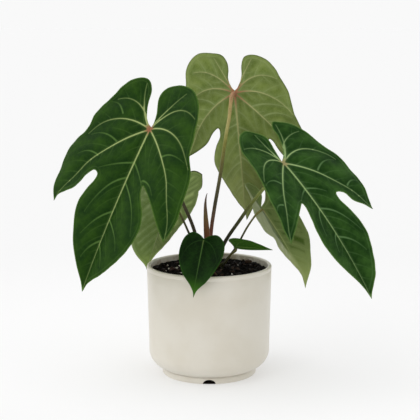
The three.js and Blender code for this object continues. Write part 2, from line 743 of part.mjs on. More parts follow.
/** The soil: a plug that fills the pot, lumpy on top, with crumbs and plain holes for the stems. */
function soilGeometry() {
  const floor = POT.floorTop + CLEARANCE;
  const round = POT.insideRound;
  const edge = innerRadius(SOIL.level) - CLEARANCE;
  const corner = innerRadius(floor + round) - CLEARANCE - round;
  const rings = Array.from({ length: SOIL.rings }, (_, i) => [edge * (1 - i / SOIL.rings), SOIL.level]);
  const rounding = arc(corner, floor + round, round, -90, 0, POT.cornerSteps);
  const plug = turnedGeometry([[0, floor], ...rounding, ...rings, [0, SOIL.level]], SOIL.sides);
  const position = plug.getAttribute('position');
  for (let i = 0; i < position.count; i += 1) {
    const isTop = Math.abs(position.getZ(i) - SOIL.level) < WELD_DISTANCE;
    if (isTop) position.setZ(i, soilHeight(position.getX(i), position.getY(i)));
  }
  let soil = toManifold(plug);
  const random = seededRandom(SOIL.seed);
  for (let i = 0; i < SOIL.crumbs; i += 1) {
    const size = THREE.MathUtils.lerp(...SOIL.crumbSize, random());
    const away = THREE.MathUtils.lerp(SOIL.clearOfStem, edge - size - CLEARANCE, Math.sqrt(random()));
    const angle = 2 * Math.PI * random();
    const [x, y] = [away * Math.cos(angle), away * Math.sin(angle)];
    const crumb = new THREE.IcosahedronGeometry(size, 0);
    crumb.scale(...SOIL.crumbFlatness);
    crumb.rotateZ(2 * Math.PI * random());
    crumb.translate(x, y, soilHeight(x, y) - SOIL.crumbSink * size);
    soil = soil.add(toManifold(merged(crumb)));
  }
  const holes = LEAVES.map(({ stalk }) => [...stalk.foot, stalk.radius * STALK.baseSwell, STALK.buriedTo]);
  holes.push([STEM.x, STEM.y, STEM.radius, STEM.buriedTo]);
  for (const [x, y, radius, bottom] of holes) {
    const depth = SOIL.level + SOIL.holeAbove - bottom;
    const wide = radius + HOLE_MARGIN;
    const hole = new THREE.CylinderGeometry(wide, wide, depth, SOIL.holeSides);
    hole.rotateX(Math.PI / 2);
    hole.translate(x, y, bottom - CLEARANCE + depth / 2);
    soil = soil.subtract(toManifold(merged(hole)));
  }
  return fromManifold(soil);
}

/** The short stem that the leaves grow round, ringed by old leaf scars. */
function stemGeometry() {
  const { radius, edge, buriedTo, top, scars } = STEM;
  const bottom = [[0, buriedTo], [radius - edge, buriedTo], [radius, buriedTo + edge]];
  const profile = [...bottom, ...scars.map(([below, inwards]) => [radius - inwards, top - below]), [0, top]];
  const stem = turnedGeometry(profile, STEM.sides);
  stem.translate(STEM.x, STEM.y, 0);
  return stem;
}

/** The rolled new leaf in its sheath: a slim spike that tapers to a point. */
function spikeGeometry() {
  const curve = curveThrough(SPIKE.knots);
  const radiusAt = (t) => {
    const belly = THREE.MathUtils.lerp(SPIKE.neck, 1, THREE.MathUtils.smoothstep(t, 0, SPIKE.bellyAt));
    return THREE.MathUtils.lerp(SPIKE.radius * belly, SPIKE.tipRadius, t ** SPIKE.taper);
  };
  return taperedBar(curve, radiusAt, SPIKE.sides, SPIKE.steps);
}

/** A piece of the plant as a named mesh with its own material. */
function piece(name, geometry, finish) {
  const mesh = new THREE.Mesh(geometry, new THREE.MeshStandardMaterial({ ...finish, metalness: 0 }));
  mesh.name = name;
  return mesh;
}

function buildPlant() {
  const plant = new THREE.Group();
  plant.add(
    piece('pot', potGeometry(), FINISHES.ceramic),
    piece('soil', soilGeometry(), FINISHES.soil),
    piece('stem', stemGeometry(), FINISHES.stem),
    piece('new_leaf_spike', spikeGeometry(), FINISHES.spike),
  );
  for (const leaf of LEAVES) {
    const facesAway = Math.abs(leaf.facing) > 90;
    plant.add(
      piece(`stalk_${leaf.name}`, stalkGeometry(leaf), FINISHES.stalk),
      piece(`blade_${leaf.name}`, bladeGeometry(leaf), facesAway ? FINISHES.leafBack : FINISHES.leafFront),
    );
  }
  return plant;
}

/** The plant moved so that its box stands on the origin, the box's middle above it. */
function standOnOrigin(plant) {
  const box = new THREE.Box3().setFromObject(plant);
  plant.position.set(-(box.min.x + box.max.x) / 2, -(box.min.y + box.max.y) / 2, -box.min.z);
  const part = new THREE.Group();
  part.add(plant);
  return part;
}

export default standOnOrigin(buildPlant());
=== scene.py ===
"""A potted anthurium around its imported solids: veined leaves, stalks, bark mix and a glazed pot.

Sizes are millimetres from the pot's axis and the surface it stands on, as they are read off the plant.
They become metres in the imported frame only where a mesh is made.
"""

from __future__ import annotations

import logging
import math
from dataclasses import dataclass, field, replace
from enum import Enum
from functools import cache

import bmesh
import bpy
import numpy as np
from mathutils import Euler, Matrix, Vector, noise
from mathutils.geometry import delaunay_2d_cdt

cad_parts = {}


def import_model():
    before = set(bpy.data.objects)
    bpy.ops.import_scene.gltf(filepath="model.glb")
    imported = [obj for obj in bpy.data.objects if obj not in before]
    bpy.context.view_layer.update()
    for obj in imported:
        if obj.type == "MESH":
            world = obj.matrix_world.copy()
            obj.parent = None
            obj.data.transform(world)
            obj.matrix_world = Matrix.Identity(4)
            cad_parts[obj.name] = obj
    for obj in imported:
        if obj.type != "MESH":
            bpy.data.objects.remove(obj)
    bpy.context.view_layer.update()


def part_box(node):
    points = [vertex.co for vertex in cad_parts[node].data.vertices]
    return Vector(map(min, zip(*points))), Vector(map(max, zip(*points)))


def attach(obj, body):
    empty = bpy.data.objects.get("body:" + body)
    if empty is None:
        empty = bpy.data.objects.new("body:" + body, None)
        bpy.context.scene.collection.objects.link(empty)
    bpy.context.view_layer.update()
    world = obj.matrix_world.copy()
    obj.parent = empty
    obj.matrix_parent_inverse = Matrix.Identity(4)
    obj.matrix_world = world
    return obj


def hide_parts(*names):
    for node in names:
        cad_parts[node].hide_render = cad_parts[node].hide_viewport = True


LOG = logging.getLogger("potted_plant")

MM = 0.001
UV_SPAN = 100.0  # millimetres of leaf in one unit of its UV map
BODY = "root"
FAR = 99.0  # stands for further from a vein than any finish reads
TINY = 1e-12  # keeps a division from meeting zero
NO_BEND = 1e-9  # radians for each millimetre: stands for straight where a rate is divided by
SAME_PLACE = 1e-6  # millimetres: nearer to each other than this is one place
PAIRS_AT_ONCE = 400_000  # how many pairs of a point and a line are compared in one go
LARGE_RIB = 2.0  # millimetres: the rib width that all veins are scaled to
PER_SQUARE_METRE = 1e4  # square centimetres in a square metre

Point2 = tuple[float, float]
Point3 = tuple[float, float, float]
Span = tuple[float, float]
Face = tuple[int, ...]
Socket = bpy.types.NodeSocket
Tree = bpy.types.NodeTree


class VeinRank(Enum):
    """How strong a vein is: a rib from the stalk, a vein that leaves a rib, or a faint one between."""

    MAIN = "main_vein"
    SIDE = "side_vein"
    FINE = "fine_vein"


def hex_to_linear(code: str) -> tuple[float, float, float, float]:
    """Turns an sRGB hex colour into linear light.

    Args:
        code: Six hex digits, such as "8fa05a".

    Returns:
        Red, green, blue and alpha, each from 0 to 1.
    """
    parts = [int(code[i : i + 2], 16) / 255 for i in (0, 2, 4)]
    linear = [p / 12.92 if p <= 0.04045 else ((p + 0.055) / 1.055) ** 2.4 for p in parts]
    return (linear[0], linear[1], linear[2], 1.0)


def smooth(low: float, high: float, value: np.ndarray | float) -> np.ndarray | float:
    """A soft step from 0 at low to 1 at high.

    Args:
        low: Where the step starts.
        high: Where the step ends; it may be below low.
        value: What is stepped.

    Returns:
        The step's value, shaped like value.
    """
    t = np.clip((value - low) / (high - low), 0.0, 1.0)
    return t * t * (3.0 - 2.0 * t)


def feed(tree: Tree, node: bpy.types.Node, inputs: dict[str | int, object]) -> None:
    """Gives a node's inputs their values and links.

    Args:
        tree: The node's tree.
        node: The node.
        inputs: Socket name or number to a value, to an output, or to a node whose first output is meant.
    """
    for key, value in inputs.items():
        source = value.outputs[0] if isinstance(value, bpy.types.Node) else value
        if isinstance(source, Socket):
            tree.links.new(source, node.inputs[key])
        else:
            node.inputs[key].default_value = source


def add_node(
    tree: Tree, kind: str, inputs: dict[str | int, object] | None = None, **settings: object
) -> bpy.types.Node:
    """Adds a node with its settings, values and links.

    Args:
        tree: The tree that gets the node.
        kind: The node's type name.
        inputs: What feed() gives its inputs.
        **settings: The node's own properties.

    Returns:
        The new node.
    """
    node = tree.nodes.new(kind)
    for name, value in settings.items():
        setattr(node, name, value)
    feed(tree, node, inputs or {})
    return node


def new_material(name: str) -> bpy.types.Material:
    """Starts a material with nodes.

    Args:
        name: What the real material is.

    Returns:
        The material.
    """
    material = bpy.data.materials.new(name)
    material.use_nodes = True
    return material


def dress_surface(
    tree: Tree, sockets: dict[str, object], relief: object, depth: float, strength: float
) -> None:
    """Feeds a material's shader, and gives the surface its fine relief.

    Args:
        tree: The material's tree.
        sockets: Shader socket to a value, or to the output that feeds it.
        relief: The node or output that gives the relief's height.
        depth: How deep the relief is, in millimetres.
        strength: How much of its slope shows, from 0 to 1.
    """
    bump = add_node(tree, "ShaderNodeBump", {"Height": relief, "Distance": depth * MM, "Strength": strength})
    feed(tree, tree.nodes["Principled BSDF"], {**sockets, "Normal": bump})


@dataclass(frozen=True)
class Coat:
    """A colour laid over another, as strongly as one number of the surface says."""

    colour: str | Socket
    where: str | Socket | bpy.types.Node  # a mesh attribute's name, or what gives the number
    span: Span  # the strength changes softly between these two numbers
    strength: Span  # at the span's start and at its end

    def lay(self, tree: Tree, under: object, share: object = None) -> Socket:
        """Lays the coat.

        Args:
            tree: The material's tree.
            under: The colour below, as four numbers or an output.
            share: A node or output that scales the strength, or None.

        Returns:
            The new colour.
        """
        where = self.where
        if isinstance(where, str):
            where = add_node(tree, "ShaderNodeAttribute", attribute_name=where).outputs["Fac"]
        ends = dict(enumerate((where, *self.span, *self.strength)))
        amount = add_node(tree, "ShaderNodeMapRange", ends, interpolation_type="SMOOTHSTEP")
        if share is not None:
            amount = add_node(tree, "ShaderNodeMath", {0: amount, 1: share}, operation="MULTIPLY")
        over = hex_to_linear(self.colour) if isinstance(self.colour, str) else self.colour
        return add_node(tree, "ShaderNodeMix", {0: amount, 6: under, 7: over}, data_type="RGBA").outputs[2]


@dataclass(frozen=True)
class PotAxis:
    """The line that the pot was turned about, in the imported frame."""

    x: float
    y: float

    @classmethod
    def from_frame(cls) -> PotAxis:
        """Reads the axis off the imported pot."""
        low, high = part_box("pot")
        return cls((low.x + high.x) / 2, (low.y + high.y) / 2)

    def place(self, points: np.ndarray) -> np.ndarray:
        """Turns rows of x, y and z in millimetres from the axis into metres in the frame."""
        return np.asarray(points, float) * MM + np.array([self.x, self.y, 0.0])


def mesh_object(
    name: str,
    points: np.ndarray,
    faces: list[Face],
    materials: list[bpy.types.Material],
    face_materials: list[int] | None = None,
) -> bpy.types.Object:
    """Makes a smooth-shaded mesh object at the origin.

    Args:
        name: The object's name.
        points: Rows of x, y and z in metres.
        faces: Point numbers of each face.
        materials: The object's materials, in slot order.
        face_materials: The slot of each face, or None for the first slot.

    Returns:
        The object, linked to the scene.
    """
    mesh = bpy.data.meshes.new(name)
    mesh.from_pydata([tuple(p) for p in points], [], faces)
    for material in materials:
        mesh.materials.append(material)
    if face_materials is not None:
        mesh.polygons.foreach_set("material_index", face_materials)
    mesh.polygons.foreach_set("use_smooth", [True] * len(faces))
    mesh.update()
    item = bpy.data.objects.new(name, mesh)
    bpy.context.scene.collection.objects.link(item)
    return item


def store_numbers(mesh: bpy.types.Mesh, name: str, values: np.ndarray) -> None:
    """Keeps one number for each point of a mesh, for its material to read."""
    layer = mesh.attributes.new(name, "FLOAT", "POINT")
    layer.data.foreach_set("value", np.asarray(values, np.float32))


def finish_piece(item: bpy.types.Object, slot: str, *nodes: str) -> None:
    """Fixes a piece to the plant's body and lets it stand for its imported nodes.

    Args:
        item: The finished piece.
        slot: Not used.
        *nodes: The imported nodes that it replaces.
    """
    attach(item, BODY)
    if nodes:
        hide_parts(*nodes)
    LOG.info("%s: %d faces", item.name, len(item.data.polygons))


@dataclass(frozen=True)
class LeafFinish:
    """The skin of one face of a leaf: a waxy cuticle over green tissue, in which the veins show.

    The wax gives the upper face a broad soft shine; the underside is duller and paler, because its
    loose tissue holds air. The spans of veins are in half widths of the vein, and the others in
    millimetres where no comment says otherwise.
    """

    name: str
    deep: str
    light: str
    net: str
    side_vein: str
    main_vein: str
    junction: str
    margin: str
    roughness: float
    net_strength: float
    tip: str = "4f7030"
    tip_reach: float = 8.0  # millimetres of paler leaf at the centre tip
    tip_strength: float = 0.9
    furrow_strength: float = 0.0  # how much of the side vein's colour fills the furrows beside all veins
    margin_strength: float = 0.5
    painted_lit_half: str = "9aa67c"
    painted_lit_half_strength: float = 0.0  # how much paler one half looks: painted light on that half
    painted_lit_half_at_left: bool = True
    dry_edge: str = "3f3a28"
    dry_from: float = 0.0  # the margin further than this from the tip has dried, in millimetres
    dry_start: float = 5.0  # millimetres over which the dried margin begins
    dry_strength: float = 0.9
    least_tear: float = 0.1
    halo_strength: float = 0.18
    vein_fade: float = 0.6  # how much of a vein's colour is gone at its end
    main_vein_strength: float = 0.95
    side_vein_strength: float = 0.6
    fine_vein_strength: float = 0.14
    red_strength: float = 0.9
    red_from: float = 2.0  # millimetres from the stalk
    junction_reach: float = 9.0  # millimetres of reddish vein round the stalk
    gloss: float = 0.09
    cuticle_ior: float = 1.45
    mottle: float = 22.0  # millimetres between light and dark patches
    small_mottle: float = 0.25  # small patches, as a share of the large ones
    mottle_shares: Point3 = (0.6, 0.3, 0.4)  # of patches, of the space between veins (painted light on the swellings, painted shade beside the veins), of small patches
    net_cell: float = 3.4  # millimetres across one mesh of the fine net, coarser than life so that it shows
    pore: float = 0.7  # millimetres: real pores are far finer, so this is as coarse as shows
    pore_height: float = 0.25
    net_groove: float = 0.6
    relief_depth: float = 0.12
    relief_strength: float = 0.7
    roughness_change: float = 0.12  # from the shiniest patch to the dullest
    main_span: Span = (0.55, 1.45)
    side_span: Span = (0.2, 2.6)
    fine_span: Span = (0.2, 3.0)
    halo_span: Span = (1.0, 4.5)
    margin_span: Span = (0.3, 1.5)
    dry_span: Span = (0.3, 0.9)
    fade_span: Span = (0.1, 0.9)  # along the vein, from 0 to 1
    furrow_span: Span = (0.1, 0.9)  # of the swelling's height
    net_span: Span = (0.0, 0.09)  # of a mesh's width
    shade_span: Span = (0.32, 1.12)  # of the mottle's sum

    def build(self) -> bpy.types.Material:
        """Makes the face's material from the blade's own attributes and its flat UV map.

        Returns:
            The material.
        """
        material = new_material(self.name)
        tree = material.node_tree
        flat = add_node(tree, "ShaderNodeUVMap", uv_map="flat")
        sizes = ((self.mottle, 3.0), (self.mottle * self.small_mottle, 4.0), (self.pore, 2.0))
        patches, small_patches, pores = (
            add_node(tree, "ShaderNodeTexNoise", {"Vector": flat, "Scale": UV_SPAN / size, "Detail": detail})
            for size, detail in sizes
        )
        net = {"Vector": flat, "Scale": UV_SPAN / self.net_cell, "Randomness": 0.9}
        cells = add_node(tree, "ShaderNodeTexVoronoi", net, feature="DISTANCE_TO_EDGE").outputs["Distance"]
        between, age, from_margin, from_tip = (
            add_node(tree, "ShaderNodeAttribute", attribute_name=name).outputs["Fac"]
            for name in ("between_veins", "vein_age", "from_margin", "from_tip")
        )
        # The space between veins is painted lighter: painted light on the swellings, painted shade beside the
        # veins.
        tone: object = 0.0
        for part, share in zip((patches, between, small_patches), self.mottle_shares):
            tone = add_node(tree, "ShaderNodeMath", {0: part, 1: share, 2: tone}, operation="MULTIPLY_ADD")
        ends = dict(enumerate((age, *self.fade_span, 1.0, 1.0 - self.vein_fade)))
        kept = add_node(tree, "ShaderNodeMapRange", ends, interpolation_type="SMOOTHSTEP")
        reddened = (self.red_from, self.junction_reach)
        redness = Coat(self.junction, "from_stalk", reddened, (self.red_strength, 0.0))
        vein_colour = redness.lay(tree, hex_to_linear(self.main_vein))
        # One half of the face is painted paler: painted light on that half.
        painted_lit_half_amount = (0.0, self.painted_lit_half_strength) if self.painted_lit_half_at_left else (self.painted_lit_half_strength, 0.0)
        main, side, fine = (rank.value for rank in VeinRank)
        coats = [
            (Coat(self.light, tone, self.shade_span, (0.0, 1.0)), None),
            (Coat(self.net, cells, self.net_span, (self.net_strength, 0.0)), None),
            (Coat(self.painted_lit_half, "left_half", (0.0, 1.0), painted_lit_half_amount), None),
            (Coat(self.tip, from_tip, (0.0, self.tip_reach), (self.tip_strength, 0.0)), None),
            (Coat(self.side_vein, "swelling", self.furrow_span, (self.furrow_strength, 0.0)), None),
            (Coat(self.side_vein, fine, self.fine_span, (self.fine_vein_strength, 0.0)), kept),
            (Coat(self.side_vein, side, self.side_span, (self.side_vein_strength, 0.0)), kept),
            (Coat(self.margin, from_margin, self.margin_span, (self.margin_strength, 0.0)), None),
            (Coat(self.side_vein, main, self.halo_span, (self.halo_strength, 0.0)), None),
            (Coat(vein_colour, main, self.main_span, (self.main_vein_strength, 0.0)), kept),
        ]
        if self.dry_from > 0:
            torn = add_node(tree, "ShaderNodeMath", {0: small_patches, 1: self.least_tear}, operation="ADD")
            ragged = add_node(tree, "ShaderNodeMath", {0: from_margin, 1: torn}, operation="MULTIPLY")
            ends = dict(enumerate((from_tip, self.dry_from - self.dry_start, self.dry_from, 0.0, 1.0)))
            dried = add_node(tree, "ShaderNodeMapRange", ends, interpolation_type="SMOOTHSTEP")
            coats.insert(-2, (Coat(self.dry_edge, ragged, self.dry_span, (self.dry_strength, 0.0)), dried))
        colour: object = hex_to_linear(self.deep)
        for coat, share in coats:
            if any(coat.strength):
                colour = coat.lay(tree, colour, share)
        change = {0: patches, 1: self.roughness_change, 2: self.roughness - self.roughness_change / 2}
        dull = add_node(tree, "ShaderNodeMath", change, operation="MULTIPLY_ADD")
        ends = dict(enumerate((cells, *self.net_span, -self.net_groove, 0.0)))
        grooves = add_node(tree, "ShaderNodeMapRange", ends, interpolation_type="SMOOTHSTEP")
        heights = {0: pores, 1: self.pore_height, 2: grooves}
        relief = add_node(tree, "ShaderNodeMath", heights, operation="MULTIPLY_ADD")
        sockets = {"Base Color": colour, "Roughness": dull, "IOR": self.cuticle_ior}
        sockets["Specular IOR Level"] = self.gloss
        dress_surface(tree, sockets, relief, self.relief_depth, self.relief_strength)
        return material


@dataclass(frozen=True)
class StalkFinish:
    """The skin of a stalk or sheath: smooth green to brown cells in long rows, flecked with pores.

    The rows give faint lines along the stalk, and the colour changes from its foot to its blade.
    """

    name: str
    stops: tuple[tuple[float, str], ...]  # the place along the stalk, from 0 to 1, and its colour
    fleck: str
    roughness: float = 0.45
    gloss: float = 0.25
    row: float = 0.9  # millimetres across one row of cells
    row_slimness: float = 0.12  # a row's width over its length
    row_span: Span = (0.35, 0.75)
    row_strength: float = 0.3
    pore_spacing: float = 2.6  # millimetres
    pore_span: Span = (0.12, 0.22)  # of the spacing
    pore_strength: float = 0.55
    relief_depth: float = 0.15
    relief_strength: float = 0.5

    def build(self) -> bpy.types.Material:
        """Makes the skin, its colour changing along the stalk.

        Returns:
            The material.
        """
        material = new_material(self.name)
        tree = material.node_tree
        along = add_node(tree, "ShaderNodeAttribute", attribute_name="along").outputs["Fac"]
        ramp = add_node(tree, "ShaderNodeValToRGB", {0: along})
        elements = ramp.color_ramp.elements
        while len(elements) < len(self.stops):
            elements.new(0.5)
        for element, (place, code) in zip(elements, self.stops):
            element.position = place
            element.color = hex_to_linear(code)
        place = add_node(tree, "ShaderNodeTexCoord").outputs["Object"]
        long_rows = add_node(tree, "ShaderNodeMapping", {0: place, 3: (1.0, 1.0, self.row_slimness)})
        rows = add_node(tree, "ShaderNodeTexNoise", {"Vector": long_rows, "Scale": 1 / (self.row * MM)})
        scattered = {"Vector": place, "Scale": 1 / (self.pore_spacing * MM)}
        pores = add_node(tree, "ShaderNodeTexVoronoi", scattered).outputs["Distance"]
        colour = Coat(self.fleck, pores, self.pore_span, (self.pore_strength, 0.0)).lay(tree, ramp.outputs[0])
        colour = Coat(self.fleck, rows, self.row_span, (0.0, self.row_strength)).lay(tree, colour)
        sockets = {"Base Color": colour, "Roughness": self.roughness, "Specular IOR Level": self.gloss}
        dress_surface(tree, sockets, rows, self.relief_depth, self.relief_strength)
        return material


@dataclass(frozen=True)
class GrainFinish:
    """A loose grain of the potting mix: rough and full of pits, each grain a little lighter or darker."""

    name: str
    dark: str
    light: str
    roughness: float
    grit: float  # millimetres between pits
    gloss: float = 0.2
    patch: float = 6.0  # millimetres between light and dark
    patch_share: float = 0.5
    tone_share: float = 0.6
    shade_span: Span = (0.25, 0.95)
    relief_depth: float = 0.35
    relief_strength: float = 0.9

    def build(self) -> bpy.types.Material:
        """Makes the grain's material.

        Returns:
            The material.
        """
        material = new_material(self.name)
        tree = material.node_tree
        place = add_node(tree, "ShaderNodeTexCoord").outputs["Object"]
        patches, pits = (
            add_node(tree, "ShaderNodeTexNoise", {0: place, "Scale": 1 / (size * MM), "Detail": detail})
            for size, detail in ((self.patch, 4.0), (self.grit, 6.0))
        )
        tone = add_node(tree, "ShaderNodeAttribute", attribute_name="tone").outputs["Fac"]
        own = add_node(tree, "ShaderNodeMath", {0: tone, 1: self.tone_share}, operation="MULTIPLY")
        parts = {0: patches, 1: self.patch_share, 2: own}
        mixed = add_node(tree, "ShaderNodeMath", parts, operation="MULTIPLY_ADD")
        colour = Coat(self.light, mixed, self.shade_span, (0.0, 1.0)).lay(tree, hex_to_linear(self.dark))
        sockets = {"Base Color": colour, "Roughness": self.roughness, "Specular IOR Level": self.gloss}
        dress_surface(tree, sockets, pits, self.relief_depth, self.relief_strength)
        return material


@dataclass(frozen=True)
class StonewareFinish:
    """Cast stoneware under a thin matt glaze: an even off-white with a faint orange-peel and few specks."""

    name: str = "matt_glazed_stoneware"
    glaze: str = "d6d1c5"
    pool: str = "d1cbbd"
    speck: str = "b3aa97"
    inner_brown: str = "86714a"
    # painted shade inside the hollow foot
    foot_shade_colour: str = "4a382c"
    roughness: float = 0.36
    ior: float = 1.5
    cloud: float = 45.0  # millimetres between pools of thicker glaze
    peel: float = 1.6  # millimetres across one dimple
    speck_spacing: float = 5.5  # millimetres
    inner_brown_size: float = 7.0  # millimetres
    pool_span: Span = (0.35, 0.7)
    speck_span: Span = (0.02, 0.06)  # of the spacing
    speck_strength: float = 0.3
    inner_brown_span: Span = (0.44, 0.62)
    inner_brown_strength: Span = (0.1, 0.9)
    relief_depth: float = 0.05
    relief_strength: float = 0.5

    def build(self) -> bpy.types.Material:
        """Makes the glaze, with a darker brown in patches on the inner wall and painted shade inside the
        hollow foot.

        Returns:
            The material.
        """
        material = new_material(self.name)
        tree = material.node_tree
        place = add_node(tree, "ShaderNodeTexCoord").outputs["Object"]
        clouds, peel, inner_patches = (
            add_node(tree, "ShaderNodeTexNoise", {0: place, "Scale": 1 / (size * MM), "Detail": detail})
            for size, detail in ((self.cloud, 3.0), (self.peel, 2.0), (self.inner_brown_size, 5.0))
        )
        scattered = {"Vector": place, "Scale": 1 / (self.speck_spacing * MM)}
        specks = add_node(tree, "ShaderNodeTexVoronoi", scattered).outputs["Distance"]
        inside, foot_shade_mask = (
            add_node(tree, "ShaderNodeAttribute", attribute_name=name).outputs["Fac"]
            for name in ("inside", "painted_foot_shade")
        )
        colour = Coat(self.pool, clouds, self.pool_span, (0.0, 1.0)).lay(tree, hex_to_linear(self.glaze))
        colour = Coat(self.speck, specks, self.speck_span, (self.speck_strength, 0.0)).lay(tree, colour)
        # A darker brown in patches over the inner wall, from about mid height to below the lip.
        colour = Coat(self.inner_brown, inner_patches, self.inner_brown_span, self.inner_brown_strength).lay(tree, colour, inside)
        # Painted shade inside the hollow foot, where it shows through the notches.
        foot_shade_mix = {0: foot_shade_mask, 6: colour, 7: hex_to_linear(self.foot_shade_colour)}
        colour = add_node(tree, "ShaderNodeMix", foot_shade_mix, data_type="RGBA").outputs[2]
        sockets = {"Base Color": colour, "Roughness": self.roughness, "IOR": self.ior}
        dress_surface(tree, sockets, peel, self.relief_depth, self.relief_strength)
        return material


@cache
def material_of(finish: LeafFinish | StalkFinish | GrainFinish | StonewareFinish) -> bpy.types.Material:
    """The material of a finish, made on first use."""
    return finish.build()


# The hard upper face of a grown leaf: deep green between broad pale ribs, with a faint waxy shine.
MATURE_UPPER = LeafFinish(
    name="mature_leaf_upper",
    deep="0d2b03",
    light="2a490c",
    net="2e4e18",
    side_vein="5c7d3c",
    main_vein="98a669",
    vein_fade=0.7,
    junction="8f5540",
    margin="587a30",
    roughness=0.5,
    net_strength=0.15,
    gloss=0.07,
)
# The same face turned from the light, as a copy with painted shade and a painted blue-grey sheen: a greyer
# green, and ribs painted with less of a glow.
SHADED_UPPER = replace(
    MATURE_UPPER,
    name="shaded_leaf_upper",
    deep="0e2d06",
    light="33551f",
    side_vein="638553",
    main_vein="8ea66c",
    vein_fade=0.68,
    junction="93865c",
    margin="6a8c44",
)
# A leaf that has just hardened: almost black green, and still glossier than an old one.
YOUNG_UPPER = LeafFinish(
    name="young_leaf_upper",
    deep="061a03",
    light="1b3a0d",
    net="1b3c12",
    side_vein="2c4c1e",
    main_vein="46662e",
    junction="5a6a3a",
    margin="2f5a1a",
    roughness=0.42,
    net_strength=0.2,
    tip="3d6c1a",
    tip_reach=26.0,
    side_vein_strength=0.45,
    gloss=0.07,
    mottle=14.0,
    net_cell=2.6,
)
# A soft new leaf, which holds little colour yet: an even light green.
FRESH_UPPER = LeafFinish(
    name="fresh_leaf_upper",
    deep="264a0a",
    light="3e6a1c",
    net="4a722c",
    side_vein="557a34",
    main_vein="7d9a50",
    junction="7d9a50",
    margin="4d7030",
    roughness=0.42,
    net_strength=0.25,
    mottle=12.0,
    net_cell=2.4,
)
# The underside of a grown leaf: a dull grey green with painted light that stands for light shining through
# it, strongest towards its tip, and ribs that stand out.
LEAF_UNDER = LeafFinish(
    name="leaf_underside",
    deep="57692b",
    light="80904a",
    net="88965a",
    side_vein="98a570",
    main_vein="a7a871",
    junction="a06850",
    margin="566236",
    roughness=0.62,
    net_strength=0.2,
    vein_fade=0.45,
    side_vein_strength=0.5,
    fine_vein_strength=0.3,
    junction_reach=26.0,
    tip="a6ac6c",
    tip_reach=100.0,
    tip_strength=0.6,
    furrow_strength=0.16,
    margin_strength=0.8,
)
# The underside of a younger leaf: olive, with one half painted paler: a painted sheen where the light falls
# across it.
OLIVE_UNDER = LeafFinish(
    name="olive_leaf_underside",
    deep="2f4710",
    light="4c6622",
    net="60753a",
    side_vein="8a9a60",
    main_vein="97a068",
    junction="8f8158",
    margin="93a06a",
    roughness=0.55,
    net_strength=0.25,
    side_vein_strength=0.4,
    tip="929e5c",
    tip_reach=62.0,
    furrow_strength=0.45,
    painted_lit_half="b9c09a",
    painted_lit_half_strength=0.85,
)
# A thin leaf lit through from above, with that light painted in: its underside painted pale as if it glowed,
# and its veins and the furrows beside them painted dark against it.
PALE_UNDER = LeafFinish(
    name="pale_leaf_underside",
    deep="869c5c",
    light="b8c896",
    net="b8c69a",
    side_vein="637d3c",
    main_vein="a9b285",
    junction="8f8158",
    margin="93a06a",
    roughness=0.6,
    net_strength=0.2,
    side_vein_strength=0.55,
    fine_vein_strength=0.5,
    furrow_strength=0.6,
    vein_fade=0.2,
    tip="a3b862",
    tip_reach=34.0,
    painted_lit_half="c6dc8c",
    painted_lit_half_strength=0.8,
    painted_lit_half_at_left=False,
    dry_from=113.0,
)


@dataclass(frozen=True)
class StalkShape:
    """A leaf stalk: where it stands in the soil and how it bends up to its blade."""

    radius: float
    knee: float
    foot: Point2
    knots: tuple[Point3, ...]
    finish: StalkFinish


@dataclass(frozen=True)
class LeafShape:
    """One leaf, drawn flat and then placed and bent.

    The flat drawing is in millimetres from the top of the stalk: u to the right and v to the centre
    tip, seen from above. The outline runs anticlockwise in stretches that meet at its sharp corners.
    A rib is (bend, end) and starts at the stalk, and a side vein is (start, bend, end). facing, lift
    and roll turn the leaf: where its upper face looks (0 is -Y, positive to +X), how far above the
    horizon it looks, and how the leaf is turned about that. fold is the rise of both halves beside
    the midrib, in degrees, and curl, droop and base_droop bend it, in degrees for each 100 mm.
    """

    name: str
    top: Point3
    facing: float
    lift: float
    roll: float
    fold: float
    curl: float
    droop: float
    base_droop: float
    sweep: float
    outline: tuple[tuple[Point2, ...], ...]
    ribs: tuple[tuple[Point2, Point2], ...]
    stalk: StalkShape
    side_veins: tuple[tuple[Point2, Point2, Point2], ...] = ()
    upper: LeafFinish = MATURE_UPPER
    under: LeafFinish = LEAF_UNDER
    grain: float = 1.5
    rib_width: float = 2.2
    lobe_rank: VeinRank = VeinRank.MAIN
    midrib_bend: Point2 | None = None
    crease: tuple[Point2, ...] = ()  # where the half with painted light ends, if not at the midrib
    side_spacing: float = 15.0
    plait: float = 1.0

    @property
    def reach(self) -> float:
        """How far the centre tip lies from the stalk."""
        return max(v for stretch in self.outline for _, v in stretch)


# An old stalk: brown and dull, as its skin has begun to cork.
DARK_STALK = StalkFinish(
    name="dark_stalk_skin",
    stops=((0.0, "4a2f1c"), (0.25, "3a3120"), (0.5, "4a462c"), (0.8, "5c5432"), (1.0, "75603c")),
    fleck="20170f",
)
# A stalk with red sap in its foot: it fades through olive to straw under the blade.
OLIVE_STALK = StalkFinish(
    name="olive_stalk_skin",
    stops=(
        (0.0, "8a4a38"), (0.26, "86503e"), (0.33, "6f5644"), (0.4, "4b4530"), (0.5, "625e40"),
        (0.62, "76713e"), (0.72, "929048"), (0.8, "b0a868"), (0.92, "b59c68"), (1.0, "a3705a"),
    ),
    fleck="3a2d18",
)
# A stalk in full growth: a fresh green above a shaded foot.
GREEN_STALK = StalkFinish(
    name="green_stalk_skin",
    stops=(
        (0.0, "4a4a20"), (0.2, "24230f"), (0.34, "2b2a15"), (0.5, "44471f"), (0.62, "626a2e"),
        (0.72, "7f8a44"), (0.84, "8c9a5a"), (1.0, "7c8a4c"),
    ),
    fleck="1c1a0c",
)
